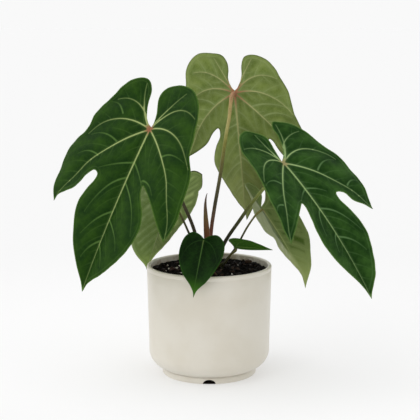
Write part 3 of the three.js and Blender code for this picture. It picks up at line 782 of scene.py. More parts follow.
# A thin stalk: a plain green that warms towards the blade.
SLIM_STALK = StalkFinish(
    name="slim_green_stalk_skin",
    stops=(
        (0.0, "565a2a"), (0.3, "26290f"), (0.55, "434426"), (0.75, "625e34"), (0.9, "7d7a44"),
        (1.0, "86804c"),
    ),
    fleck="1f1d0f",
)
# A papery sheath round a rolled leaf: red brown, with a little more shine than a stalk.
SPIKE_FINISH = StalkFinish(
    name="new_leaf_sheath",
    stops=(
        (0.0, "8e4834"), (0.3, "70402a"), (0.42, "6c4222"), (0.55, "7a5834"), (0.68, "6c5e38"),
        (0.8, "624e3a"), (0.92, "5c4c40"), (1.0, "403832"),
    ),
    fleck="6a3424",
    roughness=0.4,
)


FRONT_LEFT = LeafShape(
    name="front_left",
    top=(-63, -45, 279),
    facing=-32,
    lift=27,
    roll=-13,
    fold=18,
    curl=38,
    droop=6,
    base_droop=0,
    sweep=2,
    outline=(
        ((0, -3), (7, -7), (15, -22), (19, -41), (29, -51), (42, -47), (57, -29), (72, 2), (76, 19),
         (86, 38), (92, 68), (89, 93), (81, 109)),
        ((81, 109), (78, 102), (57, 87), (49, 71), (40, 62), (34, 65), (41, 88), (43, 107), (33, 136),
         (18, 161), (7, 177), (2, 187)),
        ((2, 187), (-3, 177), (-22, 160), (-39, 136), (-49, 107), (-45, 90), (-31, 67), (-30, 60),
         (-43, 68), (-65, 92), (-80, 106)),
        ((-80, 106), (-85, 71), (-78, 32), (-68, 12), (-63, -8), (-54, -37), (-36, -53), (-14, -55),
         (3, -47), (6, -35), (0, -17), (-1, -7), (0, -3)),
    ),
    ribs=(
        ((55, 44), (81, 107)), ((44, -11), (73, 27)), ((27, -35), (54, -19)), ((22, -16), (28, -46)),
        ((-60, 30), (-80, 104)), ((-43, -15), (-73, 28)), ((-24, -42), (-55, -24)), ((-6, -20), (-28, -48)),
    ),
    side_veins=(
        ((1, 57), (22, 70), (31, 107)), ((0, 63), (-27, 74), (-41, 113)), ((1, 96), (15, 106), (26, 130)),
        ((0, 106), (-20, 114), (-28, 133)), ((1, 39), (-19, 47), (-34, 68)), ((2, 40), (20, 48), (36, 58)),
        ((30, 25), (47, 17), (68, 27)), ((45, 46), (58, 41), (71, 52)), ((-36, 25), (-48, 16), (-66, 23)),
        ((38, -6), (48, -18), (60, -14)), ((-27, 55), (-38, 54), (-47, 66)), ((2, 130), (12, 138), (16, 153)),
        ((1, 134), (-10, 142), (-15, 155)),
    ),
    stalk=StalkShape(
        radius=2.05, knee=7, foot=(-6, -1), finish=DARK_STALK,
        knots=((-16, -3, 160), (-21, -6, 175), (-28, -11, 192), (-43, -25, 228)),
    ),
)

BACK_CENTER = LeafShape(
    name="back_center",
    top=(29, 35, 313),
    facing=152,
    lift=14,
    roll=1,
    fold=7,
    curl=2,
    droop=2,
    base_droop=8,
    sweep=2,
    outline=(
        ((0, -3), (5, -8), (10, -20), (11, -32), (15, -42), (24, -45), (37, -41), (50, -29), (60, -9),
         (66, 14), (74, 38), (80, 62), (81, 83)),
        ((81, 83), (68, 79), (52, 73), (44.5, 64), (39.5, 56.5), (36, 54), (34, 58), (35.5, 70), (38, 87),
         (33, 103), (22.5, 120), (13, 134), (7.5, 144), (2, 154)),
        ((2, 154), (0, 143), (-10, 133), (-24, 114), (-35, 97), (-38, 84), (-34, 68), (-27, 54),
         (-28, 45), (-36, 51), (-47, 66), (-60, 76), (-72, 83)),
        ((-72, 83), (-76, 62), (-75, 38), (-72, 15), (-67, -6), (-65, -22), (-57, -34), (-44, -43),
         (-28, -45), (-14, -44), (-7, -36), (-6, -27), (-7, -16), (-4, -7), (0, -3)),
    ),
    ribs=(
        ((40, 32), (80, 80)), ((36, -12), (68, 24)), ((24, -31), (52, -18)), ((10, -18), (24, -40)),
        ((-49, 22), (-70, 80)), ((-37, -13), (-66, 18)), ((-25, -29), (-53, -20)), ((-10, -18), (-22, -40)),
    ),
    side_veins=(
        ((33, 26), (48, 19), (66, 27)), ((1, 82), (-14, 89), (-27, 112)), ((20, 15), (40, 9), (64, 17)),
        ((1, 76), (14, 84), (25, 106)), ((1, 40), (12, 44), (24, 54)), ((1, 36), (-12, 41), (-24, 52)),
        ((-30, 16), (-46, 8), (-68, 14)), ((-52, 44), (-62, 40), (-71, 48)), ((48, 42), (60, 38), (74, 48)),
        ((1, 108), (10, 113), (14, 124)), ((1, 110), (-8, 116), (-13, 127)),
    ),
    stalk=StalkShape(
        radius=2.2, knee=7, foot=(1, 12.5), finish=OLIVE_STALK,
        knots=((2, 13, 157), (6, 14, 186), (12, 17, 220), (19, 24, 267), (22, 27, 283)),
    ),
)

FRONT_RIGHT = LeafShape(
    name="front_right",
    top=(80, -38, 242),
    facing=24,
    lift=46,
    roll=20.5,
    fold=18,
    curl=42,
    droop=14,
    base_droop=-4,
    sweep=0,
    outline=(
        ((0, -3), (-1, -12), (-4, -28), (-4, -38), (4, -48), (17, -52), (30, -47), (40, -31), (44, -6),
         (49, 19), (56, 43), (60, 67), (62, 86)),
        ((62, 86), (47, 74), (31, 60), (21, 53), (21, 63), (28, 92), (28, 108), (19, 136), (6, 157),
         (2, 165), (0, 174)),
        ((0, 174), (-5, 166), (-16, 152), (-26, 130), (-32, 107), (-30, 83), (-25, 66), (-27, 58),
         (-35, 62), (-40, 74), (-52, 83), (-59, 91)),
        ((-59, 91), (-63, 71), (-65, 45), (-63, 24), (-56, 7), (-51, -13), (-44, -31), (-33, -44),
         (-24, -50), (-19, -44), (-17, -30), (-11, -14), (-4, -6), (0, -3)),
    ),
    ribs=(
        ((33, 24), (61, 84)), ((22, -21), (44, 14)), ((10, -32), (36, -31)), ((4, -18), (6, -45)),
        ((-37, 36), (-58, 88)), ((-34, -19), (-56, 24)), ((-17, -31), (-42, -25)), ((-20, -14), (-25, -45)),
    ),
    side_veins=(
        ((0, 37), (-10, 42), (-18, 52)), ((0, 64), (-17, 73), (-27, 105)), ((0, 65), (14, 72), (18, 95)),
        ((-27, 26), (-39, 17), (-53, 24)), ((0, 100), (-13, 107), (-20, 126)),
        ((0, 96), (11, 101), (14, 116)), ((0, 38), (11, 42), (20, 50)),
        ((27, 23), (37, 12), (46, 19)), ((44, 46), (51, 42), (56, 50)),
        ((-46, 56), (-55, 50), (-61, 57)),
    ),
    stalk=StalkShape(
        radius=2.1, knee=7, foot=(7.5, -4.2), finish=GREEN_STALK,
        knots=((16, -7, 147), (34, -12, 176), (50, -19, 200), (66, -27, 221)),
    ),
    upper=SHADED_UPPER,
)

BACK_RIGHT = LeafShape(
    name="back_right",
    top=(61, 30, 181.5),
    facing=140,
    lift=22,
    roll=-24,
    fold=22,
    curl=10,
    droop=10,
    base_droop=5,
    sweep=0,
    outline=(
        ((0, -3), (7, -7), (13, -14), (21, -25), (29, -24), (33, -10), (34, 12), (34, 38), (31.5, 53),
         (23.5, 71), (17.5, 83), (11, 91), (6, 96.5), (0, 104)),
        ((0, 104), (1.6, 96), (2.8, 88), (-0.5, 77), (-8, 69.5), (-15, 62), (-19.5, 54), (-20, 47),
         (-18.5, 41), (-20, 37), (-26, 34), (-32, 28.5), (-34.5, 17), (-32.5, 5), (-24, -6),
         (-15, -13), (-10, -21), (-6, -33), (3, -34), (9, -25), (8.5, -15), (3.2, -7.5), (0, -3)),
    ),
    midrib_bend=(6, 85),
    crease=((-4, 0), (-8, 30), (4, 62), (7, 90), (0, 104)),
    ribs=(((22, 6), (32, 42)), ((18, -6), (28, -20)), ((-18, 2), (-28, 26)), ((1, -14), (-3, -30))),
    stalk=StalkShape(
        radius=1.25, knee=6, foot=(10.5, 5), finish=SLIM_STALK,
        knots=((17, 4.5, 125), (30, 8, 141), (43, 15, 163), (53, 22, 176)),
    ),
    side_veins=(
        ((0, 50), (-7, 55), (-16, 63)), ((0, 58), (-6, 63), (-13, 71)), ((0, 66), (-4, 71), (-8, 78)),
        ((0, 42), (-9, 45), (-19, 50)), ((1, 60), (9, 66), (17, 78)), ((1, 44), (12, 50), (24, 66)),
        ((1, 28), (14, 34), (29, 52)),
    ),
    under=OLIVE_UNDER,
    grain=1.3,
    rib_width=1.3,
    lobe_rank=VeinRank.SIDE,
    side_spacing=9.0,
    plait=1.4,
)

BACK_LEFT = LeafShape(
    name="back_left",
    top=(-42, 25, 197),
    facing=-145,
    lift=20,
    roll=13,
    fold=10,
    curl=10,
    droop=5,
    base_droop=5,
    sweep=3,
    outline=(
        ((0, -3), (4, -14), (8, -28), (15, -33), (22, -33.5), (29, -32), (34, -30)),
        ((34, -30), (36, -26), (40, -19), (42, -13), (40, -8.5)),
        ((40, -8.5), (43.5, -1), (45, 7.5), (44, 15), (42, 22), (36.5, 32), (31, 44.5), (25, 57),
         (17.5, 67.5), (10.5, 76), (5.5, 84.5), (4, 94)),
        ((4, 94), (-2, 88), (-14, 80), (-24, 70), (-34, 50), (-40, 28), (-42, 6), (-38, -14),
         (-30, -28), (-18, -34), (-8, -28), (-4, -14), (0, -3)),
    ),
    ribs=(((28, 2), (37, 36)), ((24, -12), (34, -24)), ((-28, 2), (-37, 40)), ((-22, -10), (-30, -22))),
    side_veins=(
        ((1, 44), (-7, 52), (-16, 69)), ((0, 33), (-9, 42), (-20, 60)), ((0, 22), (-10, 31), (-25, 50)),
        ((20, -18), (25, -24), (30, -29)), ((25, -6), (32, -11), (39, -17)), ((28, 6), (35, 2), (42, -3)),
        ((30, 16), (36, 12), (43, 10)), ((2, 30), (14, 36), (30, 44)), ((2, 42), (12, 47), (24, 56)),
        ((2, 54), (9, 58), (17, 66)), ((1, 56), (-4, 64), (-10, 78)),
    ),
    stalk=StalkShape(
        radius=1.35, knee=6, foot=(-5.2, 7.2), finish=SLIM_STALK,
        knots=((-23, 11, 157), (-29, 15, 170), (-37, 20, 186)),
    ),
    under=PALE_UNDER,
    grain=1.3,
    rib_width=1.3,
    lobe_rank=VeinRank.SIDE,
    side_spacing=8.0,
    plait=2.4,
)

FRONT_SMALL = LeafShape(
    name="front_small",
    top=(-6, -62, 162),
    facing=-8,
    lift=24,
    roll=-8,
    fold=14,
    curl=60,
    droop=10,
    base_droop=10,
    sweep=0,
    outline=(
        ((0, -2), (4, -5), (12, -7), (19, -2), (23, 11), (22, 24), (15, 39), (5, 50), (1, 56), (-1, 62)),
        ((-1, 62), (-3, 55), (-12, 44), (-20, 29), (-25, 12), (-23, 0), (-15, -7), (-7, -6), (0, -2)),
    ),
    ribs=(((15, 2), (20, 24)), ((-15, 2), (-20, 24))),
    stalk=StalkShape(
        radius=1.2, knee=5, foot=(-0.5, -5), finish=GREEN_STALK,
        knots=((-1, -20, 138), (-2, -44, 153)),
    ),
    upper=YOUNG_UPPER,
    grain=1.0,
    rib_width=1.2,
    lobe_rank=VeinRank.SIDE,
    side_spacing=9.0,
)

RIGHT_SMALL = LeafShape(
    name="right_small",
    top=(29.8, -9, 144.6),
    facing=-2,
    lift=72,
    roll=86,
    fold=14,
    curl=30,
    droop=12,
    base_droop=10,
    sweep=0,
    outline=(
        ((0, -2), (2.5, -2.6), (5, -0.8), (8, 4.5), (10.2, 11), (10.3, 16), (8.5, 22), (6, 28),
         (3, 34), (0, 41)),
        ((0, 41), (-2, 36.5), (-4, 31.5), (-6.5, 26), (-9, 20), (-11.5, 13), (-13, 6), (-14, -1),
         (-14, -5.5), (-12.5, -8.6), (-10, -9.2), (-5, -5.6), (0, -2)),
    ),
    ribs=(((7, 1), (8, 14)), ((-9, 0), (-10, 14))),
    stalk=StalkShape(
        radius=1.1, knee=4, foot=(14.5, 0.4), finish=SLIM_STALK,
        knots=((20.5, -2.5, 129.3), (24.9, -5, 136.1)),
    ),
    upper=FRESH_UPPER,
    grain=0.9,
    rib_width=0.8,
    lobe_rank=VeinRank.SIDE,
    side_spacing=6.0,
)

LEAVES = (FRONT_LEFT, BACK_CENTER, FRONT_RIGHT, BACK_RIGHT, BACK_LEFT, FRONT_SMALL, RIGHT_SMALL)


def lengths_along(line: np.ndarray) -> np.ndarray:
    """How far along a line each of its points is."""
    return np.concatenate([[0.0], np.cumsum(np.linalg.norm(np.diff(line, axis=0), axis=1))])


def spaced(points: np.ndarray, step: float) -> np.ndarray:
    """Walks along a line of points in even steps.

    Args:
        points: The line's points, one row each.
        step: About how long a step is.

    Returns:
        Evenly spaced points, both ends included.
    """
    travelled = lengths_along(points)
    count = max(2, round(travelled[-1] / step) + 1)
    places = np.linspace(0.0, travelled[-1], count)
    return np.stack([np.interp(places, travelled, column) for column in points.T], axis=1)


def through_knots(knots: np.ndarray, per_span: int = 24) -> np.ndarray:
    """A smooth open curve through its knots (centripetal Catmull-Rom).

    Args:
        knots: The knots, one row each.
        per_span: How many points lie between two knots.

    Returns:
        The curve's points.
    """
    knots = np.asarray(knots, float)
    ends = [2 * knots[0] - knots[1], *knots, 2 * knots[-1] - knots[-2]]
    curve = []
    for p0, p1, p2, p3 in zip(ends, ends[1:], ends[2:], ends[3:]):
        gaps = (np.linalg.norm(b - a) for a, b in ((p0, p1), (p1, p2), (p2, p3)))
        spans = [max(gap, SAME_PLACE) ** 0.5 for gap in gaps]
        t0, t1 = 0.0, spans[0]
        t2, t3 = t1 + spans[1], t1 + spans[1] + spans[2]
        for t in np.linspace(t1, t2, per_span, endpoint=False):
            a1 = ((t1 - t) * p0 + (t - t0) * p1) / (t1 - t0)
            a2 = ((t2 - t) * p1 + (t - t1) * p2) / (t2 - t1)
            a3 = ((t3 - t) * p2 + (t - t2) * p3) / (t3 - t2)
            b1 = ((t2 - t) * a1 + (t - t0) * a2) / (t2 - t0)
            b2 = ((t3 - t) * a2 + (t - t1) * a3) / (t3 - t1)
            curve.append(((t2 - t) * b1 + (t - t1) * b2) / (t2 - t1))
    return np.array([*curve, knots[-1]])


def bezier(start: Point2, bend: Point2, end: Point2, count: int = 40) -> np.ndarray:
    """A quadratic curve.

    Args:
        start: Where it starts.
        bend: The point that it is pulled towards.
        end: Where it ends.
        count: How many points it has.

    Returns:
        The curve's points.
    """
    t = np.linspace(0.0, 1.0, count)[:, None]
    a, b, c = (np.array(p, float) for p in (start, bend, end))
    return (1 - t) ** 2 * a + 2 * t * (1 - t) * b + t**2 * c


def in_parts(points: np.ndarray, corners: int) -> list[slice]:
    """Cuts rows of points into parts that are small enough to compare with every corner of a line."""
    size = max(1, PAIRS_AT_ONCE // max(corners, 1))
    return [slice(first, first + size) for first in range(0, len(points), size)]


def distance_along(points: np.ndarray, line: np.ndarray) -> tuple[np.ndarray, np.ndarray]:
    """How far points are from a line, and how far along it their nearest place is.

    Args:
        points: The points, one row each.
        line: The line's points, one row each.

    Returns:
        The distance of each point, and its place along the line from 0 to 1.
    """
    starts, steps = line[:-1], np.diff(line, axis=0)
    lengths = np.maximum((steps**2).sum(1), TINY)
    distances, places = np.empty(len(points)), np.empty(len(points))
    for part in in_parts(points, len(starts)):
        x = points[part, 0, None] - starts[:, 0]
        y = points[part, 1, None] - starts[:, 1]
        t = np.clip((x * steps[:, 0] + y * steps[:, 1]) / lengths, 0.0, 1.0)
        apart = np.hypot(x - t * steps[:, 0], y - t * steps[:, 1])
        nearest = apart.argmin(1)
        row = np.arange(len(nearest))
        distances[part] = apart[row, nearest]
        places[part] = (nearest + t[row, nearest]) / len(starts)
    return distances, places


def inside_ring(points: np.ndarray, ring: np.ndarray) -> np.ndarray:
    """Which points lie inside a closed ring.

    Args:
        points: The points, one row each.
        ring: The ring's corners, the last joined to the first.

    Returns:
        True for each point that lies inside.
    """
    following = np.roll(ring, -1, axis=0)
    rise = following[:, 1] - ring[:, 1]
    slope = (following[:, 0] - ring[:, 0]) / np.where(rise == 0, TINY, rise)
    inside = np.empty(len(points), bool)
    for part in in_parts(points, len(ring)):
        x, y = points[part, 0, None], points[part, 1, None]
        spans = (ring[:, 1] > y) != (following[:, 1] > y)
        crosses = spans & (x < slope * (y - ring[:, 1]) + ring[:, 0])
        inside[part] = crosses.sum(1) % 2 == 1
    return inside


@dataclass
class Vein:
    """A vein as a flat line that thins towards its end."""

    line: np.ndarray
    rank: VeinRank
    width: float
    end_width: float


@dataclass
class Venation:
    """All veins of a leaf: its ribs, the side veins that leave them, and the vein along the margin."""

    shape: LeafShape
    step: float = 1.6
    midrib_size: float = 1.1  # of the leaf's rib width
    lobe_rib_size: float = 0.8  # of the leaf's rib width
    rib_end: float = 0.3  # a rib's width at its end, of its width at the stalk
    side_width: float = 1.2
    fine_width: float = 0.8
    side_end: float = 0.5
    least_scale: float = 0.6  # side veins of a small leaf are at least this share of a large leaf's
    from_margin: float = 3.6
    clear_share: float = 0.93  # the margin's vein keeps this share of its distance in narrow places
    apart: float = 4.2
    first_places: Span = (0.8, 1.2)  # of the spacing, on the left and on the right
    last_place: float = 0.5  # of the spacing, before the rib's end
    open_angle: float = 52.0
    closed_angle: float = 8.0
    turn_back: float = 0.9  # degrees for each millimetre
    free_steps: int = 2  # a young vein may start this near another
    most_steps: int = 80
    fewest_points: int = 6
    veins: list[Vein] = field(default_factory=list)

    def __post_init__(self) -> None:
        """Draws the outline and the veins, the strongest first."""
        parts = [spaced(through_knots(np.array(s, float)), self.shape.grain)[:-1] for s in self.shape.outline]
        self.ring = np.concatenate(parts)
        self.closed = np.concatenate([self.ring, self.ring[:1]])
        self._add_ribs()
        for start, bend, end in self.shape.side_veins:
            self._add_side(bezier(start, bend, end), VeinRank.SIDE, self.side_width)
        self._grow_side_veins()
        self._add_margin_vein()

    def _add_ribs(self) -> None:
        """Adds the midrib and the ribs of the lobes."""
        reach = self.shape.reach
        midrib = bezier((0, 0), self.shape.midrib_bend or (0, reach / 2), (self.shape.sweep, reach), 60)
        lines = [midrib] + [bezier((0, 0), bend, end) for bend, end in self.shape.ribs]
        for number, line in enumerate(lines):
            rank = VeinRank.MAIN if number == 0 else self.shape.lobe_rank
            width = self.shape.rib_width * (self.midrib_size if number == 0 else self.lobe_rib_size)
            self.veins.append(Vein(spaced(line, self.step), rank, width, self.rib_end * width))
        self.rib_count = len(lines)

    def _add_side(self, line: np.ndarray, rank: VeinRank, width: float) -> None:
        """Adds a vein that leaves a rib, its width scaled to the leaf's ribs."""
        scaled = width * max(self.shape.rib_width / LARGE_RIB, self.least_scale)
        self.veins.append(Vein(spaced(line, self.step), rank, scaled, self.side_end * scaled))

    def _grow_side_veins(self) -> None:
        """Grows side veins from every rib, wherever none is drawn yet."""
        spacing = self.shape.side_spacing
        for rib in self.veins[: self.rib_count]:
            travelled = lengths_along(rib.line)
            for hand, first in zip((1, -1), self.first_places):
                along = spacing * first
                while along < travelled[-1] - self.last_place * spacing:
                    self._grow(rib, int(np.searchsorted(travelled, along)), hand)
                    along += spacing

    def _grow(self, rib: Vein, place: int, hand: int) -> None:
        """Grows one side vein from a rib until it nears the margin or another vein.

        Args:
            rib: The rib that it leaves.
            place: The number of the rib's point where it starts.
            hand: 1 for the left of the rib's way, -1 for the right.
        """
        tangent = rib.line[min(place + 1, len(rib.line) - 1)] - rib.line[place - 1]
        forward = math.atan2(tangent[1], tangent[0])
        angle = hand * math.radians(self.open_angle)
        others = np.concatenate([v.line for v in self.veins if v is not rib])
        path = [rib.line[place]]
        for count in range(self.most_steps):
            heading = np.array([math.cos(forward + angle), math.sin(forward + angle)])
            point = path[-1] + heading * self.step
            angle -= hand * math.radians(self.turn_back) * self.step
            margin = distance_along(point[None], self.closed)[0][0]
            if margin < self.from_margin or not inside_ring(point[None], self.ring)[0]:
                break
            if count > self.free_steps and np.linalg.norm(others - point, axis=1).min() < self.apart:
                break
            if abs(angle) < math.radians(self.closed_angle):
                break
            path.append(point)
        if len(path) >= self.fewest_points:
            self._add_side(np.array(path), VeinRank.FINE, self.fine_width)

    def _add_margin_vein(self) -> None:
        """Adds the collecting vein that runs just inside the margin."""
        forward = np.roll(self.ring, -1, axis=0) - np.roll(self.ring, 1, axis=0)
        inward = np.stack([-forward[:, 1], forward[:, 0]], axis=1)
        inward /= np.linalg.norm(inward, axis=1)[:, None]
        inset = self.ring + inward * self.from_margin
        clear = distance_along(inset, self.closed)[0] > self.clear_share * self.from_margin
        run: list[np.ndarray] = []
        for point, kept in zip([*inset, inset[0]], [*clear, False]):
            if kept:
                run.append(point)
                continue
            if len(run) > self.fewest_points:
                self._add_side(np.array(run), VeinRank.FINE, self.fine_width)
            run = []


@dataclass
class LeafSurface:
    """The bent surface of a leaf, from flat (u, v) to places in millimetres."""

    shape: LeafShape
    seam_softness: float = 12.0  # how round the fold gets behind the stalk
    seam_reach: float = 30.0
    normal_step: float = 0.4

    def __post_init__(self) -> None:
        """Sets up the leaf's own directions."""
        facing, lift, roll = (math.radians(a) for a in (self.shape.facing, self.shape.lift, self.shape.roll))
        east, south = math.sin(facing), -math.cos(facing)
        self.upper = np.array([east * math.cos(lift), south * math.cos(lift), math.sin(lift)])
        down = np.array([east * math.sin(lift), south * math.sin(lift), -math.cos(lift)])
        self.along = math.cos(roll) * down + math.sin(roll) * np.cross(self.upper, down)
        self.side = np.cross(self.along, self.upper)

    def points(self, flat: np.ndarray, rise: np.ndarray) -> np.ndarray:
        """Bends flat points into the leaf's surface.

        Args:
            flat: Rows of u and v.
            rise: How far each point stands off the plain surface.

        Returns:
            Rows of x, y and z in millimetres.
        """
        shape = self.shape
        u, v = flat[:, 0], flat[:, 1]
        midline = np.where(v > 0, shape.sweep * (v / shape.reach) ** 2, 0.0)
        offset = u - midline
        width = np.abs(offset)
        softness = self.seam_softness * smooth(0.0, self.seam_reach, -v)
        soft_width = np.hypot(width, softness) - softness
        start = math.radians(shape.fold)
        bend = math.radians(shape.curl) / 100
        across = midline + np.sign(offset) * (math.sin(start) - np.sin(start - bend * width)) / bend
        height = (np.cos(start - bend * soft_width) - math.cos(start)) / bend + rise
        rate = np.where(v >= 0, math.radians(shape.droop) / 100, math.radians(shape.base_droop) / 100)
        rate = np.where(np.abs(rate) < NO_BEND, NO_BEND, rate)
        angle = rate * v
        ahead = np.sin(angle) / rate + height * np.sin(angle)
        above = (np.cos(angle) - 1) / rate + height * np.cos(angle)
        directions = across[:, None] * self.side + ahead[:, None] * self.along + above[:, None] * self.upper
        return np.array(shape.top, float) + directions

    def normal_at_stalk(self) -> np.ndarray:
        """The way out of the upper face above the stalk.

        Returns:
            A row of one unit's length.
        """
        step = self.normal_step
        flat = np.array([(step, 0), (-step, 0), (0, step), (0, -step)], float)
        right, left, ahead, behind = self.points(flat, np.zeros(4))
        normal = np.cross(right - left, ahead - behind)
        return normal / np.linalg.norm(normal)


@dataclass
class LeafBlade:
    """A leaf blade: a thin closed body with swellings between its veins and ribs underneath."""

    shape: LeafShape
    axis: PotAxis
    thickness: float = 0.8
    edge_thickness: float = 0.45
    edge_reach: float = 3.0
    rib_depth: float = 0.9
    side_rib_depth: float = 0.3
    edge_rib: float = 0.25  # a rib's depth at the margin, of its depth inside
    groove: float = 0.18
    side_groove: float = 0.5  # of the groove over a rib
    rib_forms: Point3 = (1.1, 1.3, 1.4)  # how broad each rank stands out, in half widths of the vein
    fine_share: float = 0.4  # a faint vein's depth, of a side vein's
    swell: float = 1.8
    swell_spread: float = 9.0
    side_swell: float = 0.45
    side_swell_spread: float = 4.2
    full_length: float = 180.0  # a leaf this long swells fully
    least_swell: float = 0.35
    quilt_spread: float = 8.0
    wave: float = 1.3
    wave_length: float = 46.0
    wave_reach: float = 60.0
    wave_phase: float = 0.8
    ruffle: float = 0.22
    ruffle_length: float = 19.0
    ruffle_reach: float = 5.0
    vein_reach: float = 26.0
    painted_lit_half_edge: Span = (2.0, -4.0)  # the half with painted light begins and is full this far right of the crease
    vein_from_edge: float = 0.55  # in grains, as the next three
    field_apart: float = 0.62
    row_height: float = 0.866
    shake: float = 0.12
    field_seed: int = 5
    field_batch: int = 500
    weld: float = 1e-4
    least_area: float = 1e-7

    def build(self) -> bpy.types.Object:
        """Makes the blade with its two faces' materials.

        Returns:
            The blade's object.
        """
        self.venation = Venation(self.shape)
        flat, triangles, edge = self._fill()
        numbers = self._measure(flat)
        middle = LeafSurface(self.shape).points(flat, self._rise(flat, numbers))
        upper, under = self._faces(middle, self._normals(middle, triangles), numbers)
        count = len(flat)
        faces = [tuple(t) for t in triangles]
        faces += [(count + a, count + c, count + b) for a, b, c in triangles]
        faces += [(b, a, count + a, count + b) for a, b in edge]
        slots = [0] * len(triangles) + [1] * len(triangles) + [0] * len(edge)
        materials = [material_of(self.shape.upper), material_of(self.shape.under)]
        points = self.axis.place(np.concatenate([upper, under]))
        blade = mesh_object(f"leaf_{self.shape.name}", points, faces, materials, slots)
        for key, values in numbers.items():
            store_numbers(blade.data, key, np.concatenate([values, values]))
        self._store_flat_map(blade.data, np.concatenate([flat, flat]))
        return blade

    def _fill(self) -> tuple[np.ndarray, np.ndarray, list[tuple[int, int]]]:
        """Fills the outline with triangles whose corners lie on the veins.

        Returns:
            The flat points, the triangles and the outline's edges.
        """
        ring = self.venation.ring
        from_edge = self.vein_from_edge * self.shape.grain
        points = list(ring)
        edges: list[tuple[int, int]] = []
        for vein in self.venation.veins:
            clear = distance_along(vein.line, self.venation.closed)[0] > from_edge
            kept = vein.line[clear & inside_ring(vein.line, ring)]
            first = len(points)
            points.extend(kept)
            edges += [(first + i, first + i + 1) for i in range(len(kept) - 1)]
        points.extend(self._field(ring, np.array(points)))
        face = list(range(len(ring)))
        result = delaunay_2d_cdt([Vector(p) for p in points], edges, [face], 1, self.weld)
        flat = np.array([tuple(p) for p in result[0]])
        triangles = np.array([t for t in result[2] if len(t) == 3])
        a, b, c = (flat[triangles[:, i]] for i in range(3))
        area = (b[:, 0] - a[:, 0]) * (c[:, 1] - a[:, 1]) - (b[:, 1] - a[:, 1]) * (c[:, 0] - a[:, 0])
        triangles[area < 0] = triangles[area < 0][:, ::-1]
        triangles = triangles[np.abs(area) > self.least_area]
        open_edges: dict[frozenset[int], tuple[int, int]] = {}
        for x, y, z in triangles:
            for pair in ((x, y), (y, z), (z, x)):
                if open_edges.pop(frozenset(pair), None) is None:
                    open_edges[frozenset(pair)] = pair
        return flat, triangles, list(open_edges.values())

    def _field(self, ring: np.ndarray, used: np.ndarray) -> np.ndarray:
        """An even field of points inside the outline, clear of the points already placed.

        Args:
            ring: The outline.
            used: The points already placed.

        Returns:
            The field's points.
        """
        grain = self.shape.grain
        low, high = ring.min(0), ring.max(0)
        rows = np.arange(low[1], high[1], grain * self.row_height)
        columns = np.arange(low[0], high[0], grain)
        grid = np.array([(x + (i % 2) * grain / 2, y) for i, y in enumerate(rows) for x in columns])
        generator = np.random.default_rng(self.field_seed)
        grid += generator.uniform(-self.shake, self.shake, grid.shape) * grain
        grid = grid[inside_ring(grid, ring)]
        nearest = [
            np.linalg.norm(grid[first : first + self.field_batch, None] - used[None], axis=2).min(1)
            for first in range(0, len(grid), self.field_batch)
        ]
        return grid[np.concatenate(nearest) > self.field_apart * grain]

    def _measure(self, flat: np.ndarray) -> dict[str, np.ndarray]:
        """Measures every point against the veins, the margin and the stalk.

        Args:
            flat: Rows of u and v.

        Returns:
            Named numbers for each point. A vein's number is 1 at the vein's own edge.
        """
        ratios = {rank: np.full(len(flat), FAR) for rank in VeinRank}
        nearest = {rank: np.full(len(flat), FAR) for rank in VeinRank}
        closest = np.full(len(flat), FAR)
        vein_age = np.ones(len(flat))
        for vein in self.venation.veins:
            low, high = vein.line.min(0) - self.vein_reach, vein.line.max(0) + self.vein_reach
            near = np.flatnonzero(((flat > low) & (flat < high)).all(1))
            distance, along = distance_along(flat[near], vein.line)
            ratio = distance / ((vein.width + (vein.end_width - vein.width) * along) / 2)
            wins = ratio < closest[near]
            vein_age[near[wins]] = along[wins]
            closest[near] = np.minimum(closest[near], ratio)
            ratios[vein.rank][near] = np.minimum(ratios[vein.rank][near], ratio)
            nearest[vein.rank][near] = np.minimum(nearest[vein.rank][near], distance)
        any_vein = np.min(list(nearest.values()), axis=0)
        drawn_vein = np.minimum(nearest[VeinRank.MAIN], nearest[VeinRank.SIDE])
        crease = np.array(self.shape.crease or self.venation.veins[0].line)
        right_of_crease = flat[:, 0] - np.interp(flat[:, 1], crease[:, 1], crease[:, 0])
        return {
            **{rank.value: ratios[rank] for rank in VeinRank},
            "from_rib": nearest[VeinRank.MAIN],
            "from_margin": distance_along(flat, self.venation.closed)[0],
            "from_stalk": np.hypot(flat[:, 0], flat[:, 1]),
            "from_tip": np.hypot(flat[:, 0] - self.shape.sweep, flat[:, 1] - self.shape.reach),
            "left_half": smooth(*self.painted_lit_half_edge, right_of_crease),
            "vein_age": vein_age,
            "swelling": 1 - np.exp(-((any_vein / self.side_swell_spread) ** 2)),
            # The finish paints the space between drawn veins lighter: painted light on the swellings.
            "between_veins": 1 - np.exp(-((drawn_vein / self.quilt_spread) ** 2)),
        }

    def _rise(self, flat: np.ndarray, numbers: dict[str, np.ndarray]) -> np.ndarray:
        """How far each point swells off the plain surface.

        Args:
            flat: Rows of u and v.
            numbers: The measures of each point.

        Returns:
            A height for each point.
        """
        size = self.least_swell + (1 - self.least_swell) * min(1.0, self.shape.reach / self.full_length)
        broad = self.swell * size * (1 - np.exp(-((numbers["from_rib"] / self.swell_spread) ** 2)))
        small = self.side_swell * self.shape.plait * size * numbers["swelling"]
        phase = 2 * math.pi * flat[:, 1] / self.wave_length + np.sign(flat[:, 0]) * self.wave_phase
        wave = self.wave * np.sin(phase) * np.minimum(1.0, np.abs(flat[:, 0]) / self.wave_reach) ** 2
        ripple = np.sin(2 * math.pi * (flat[:, 0] + flat[:, 1]) / self.ruffle_length)
        at_edge = np.exp(-((numbers["from_margin"] / self.ruffle_reach) ** 2))
        return broad + small + wave + self.ruffle * size * ripple * at_edge

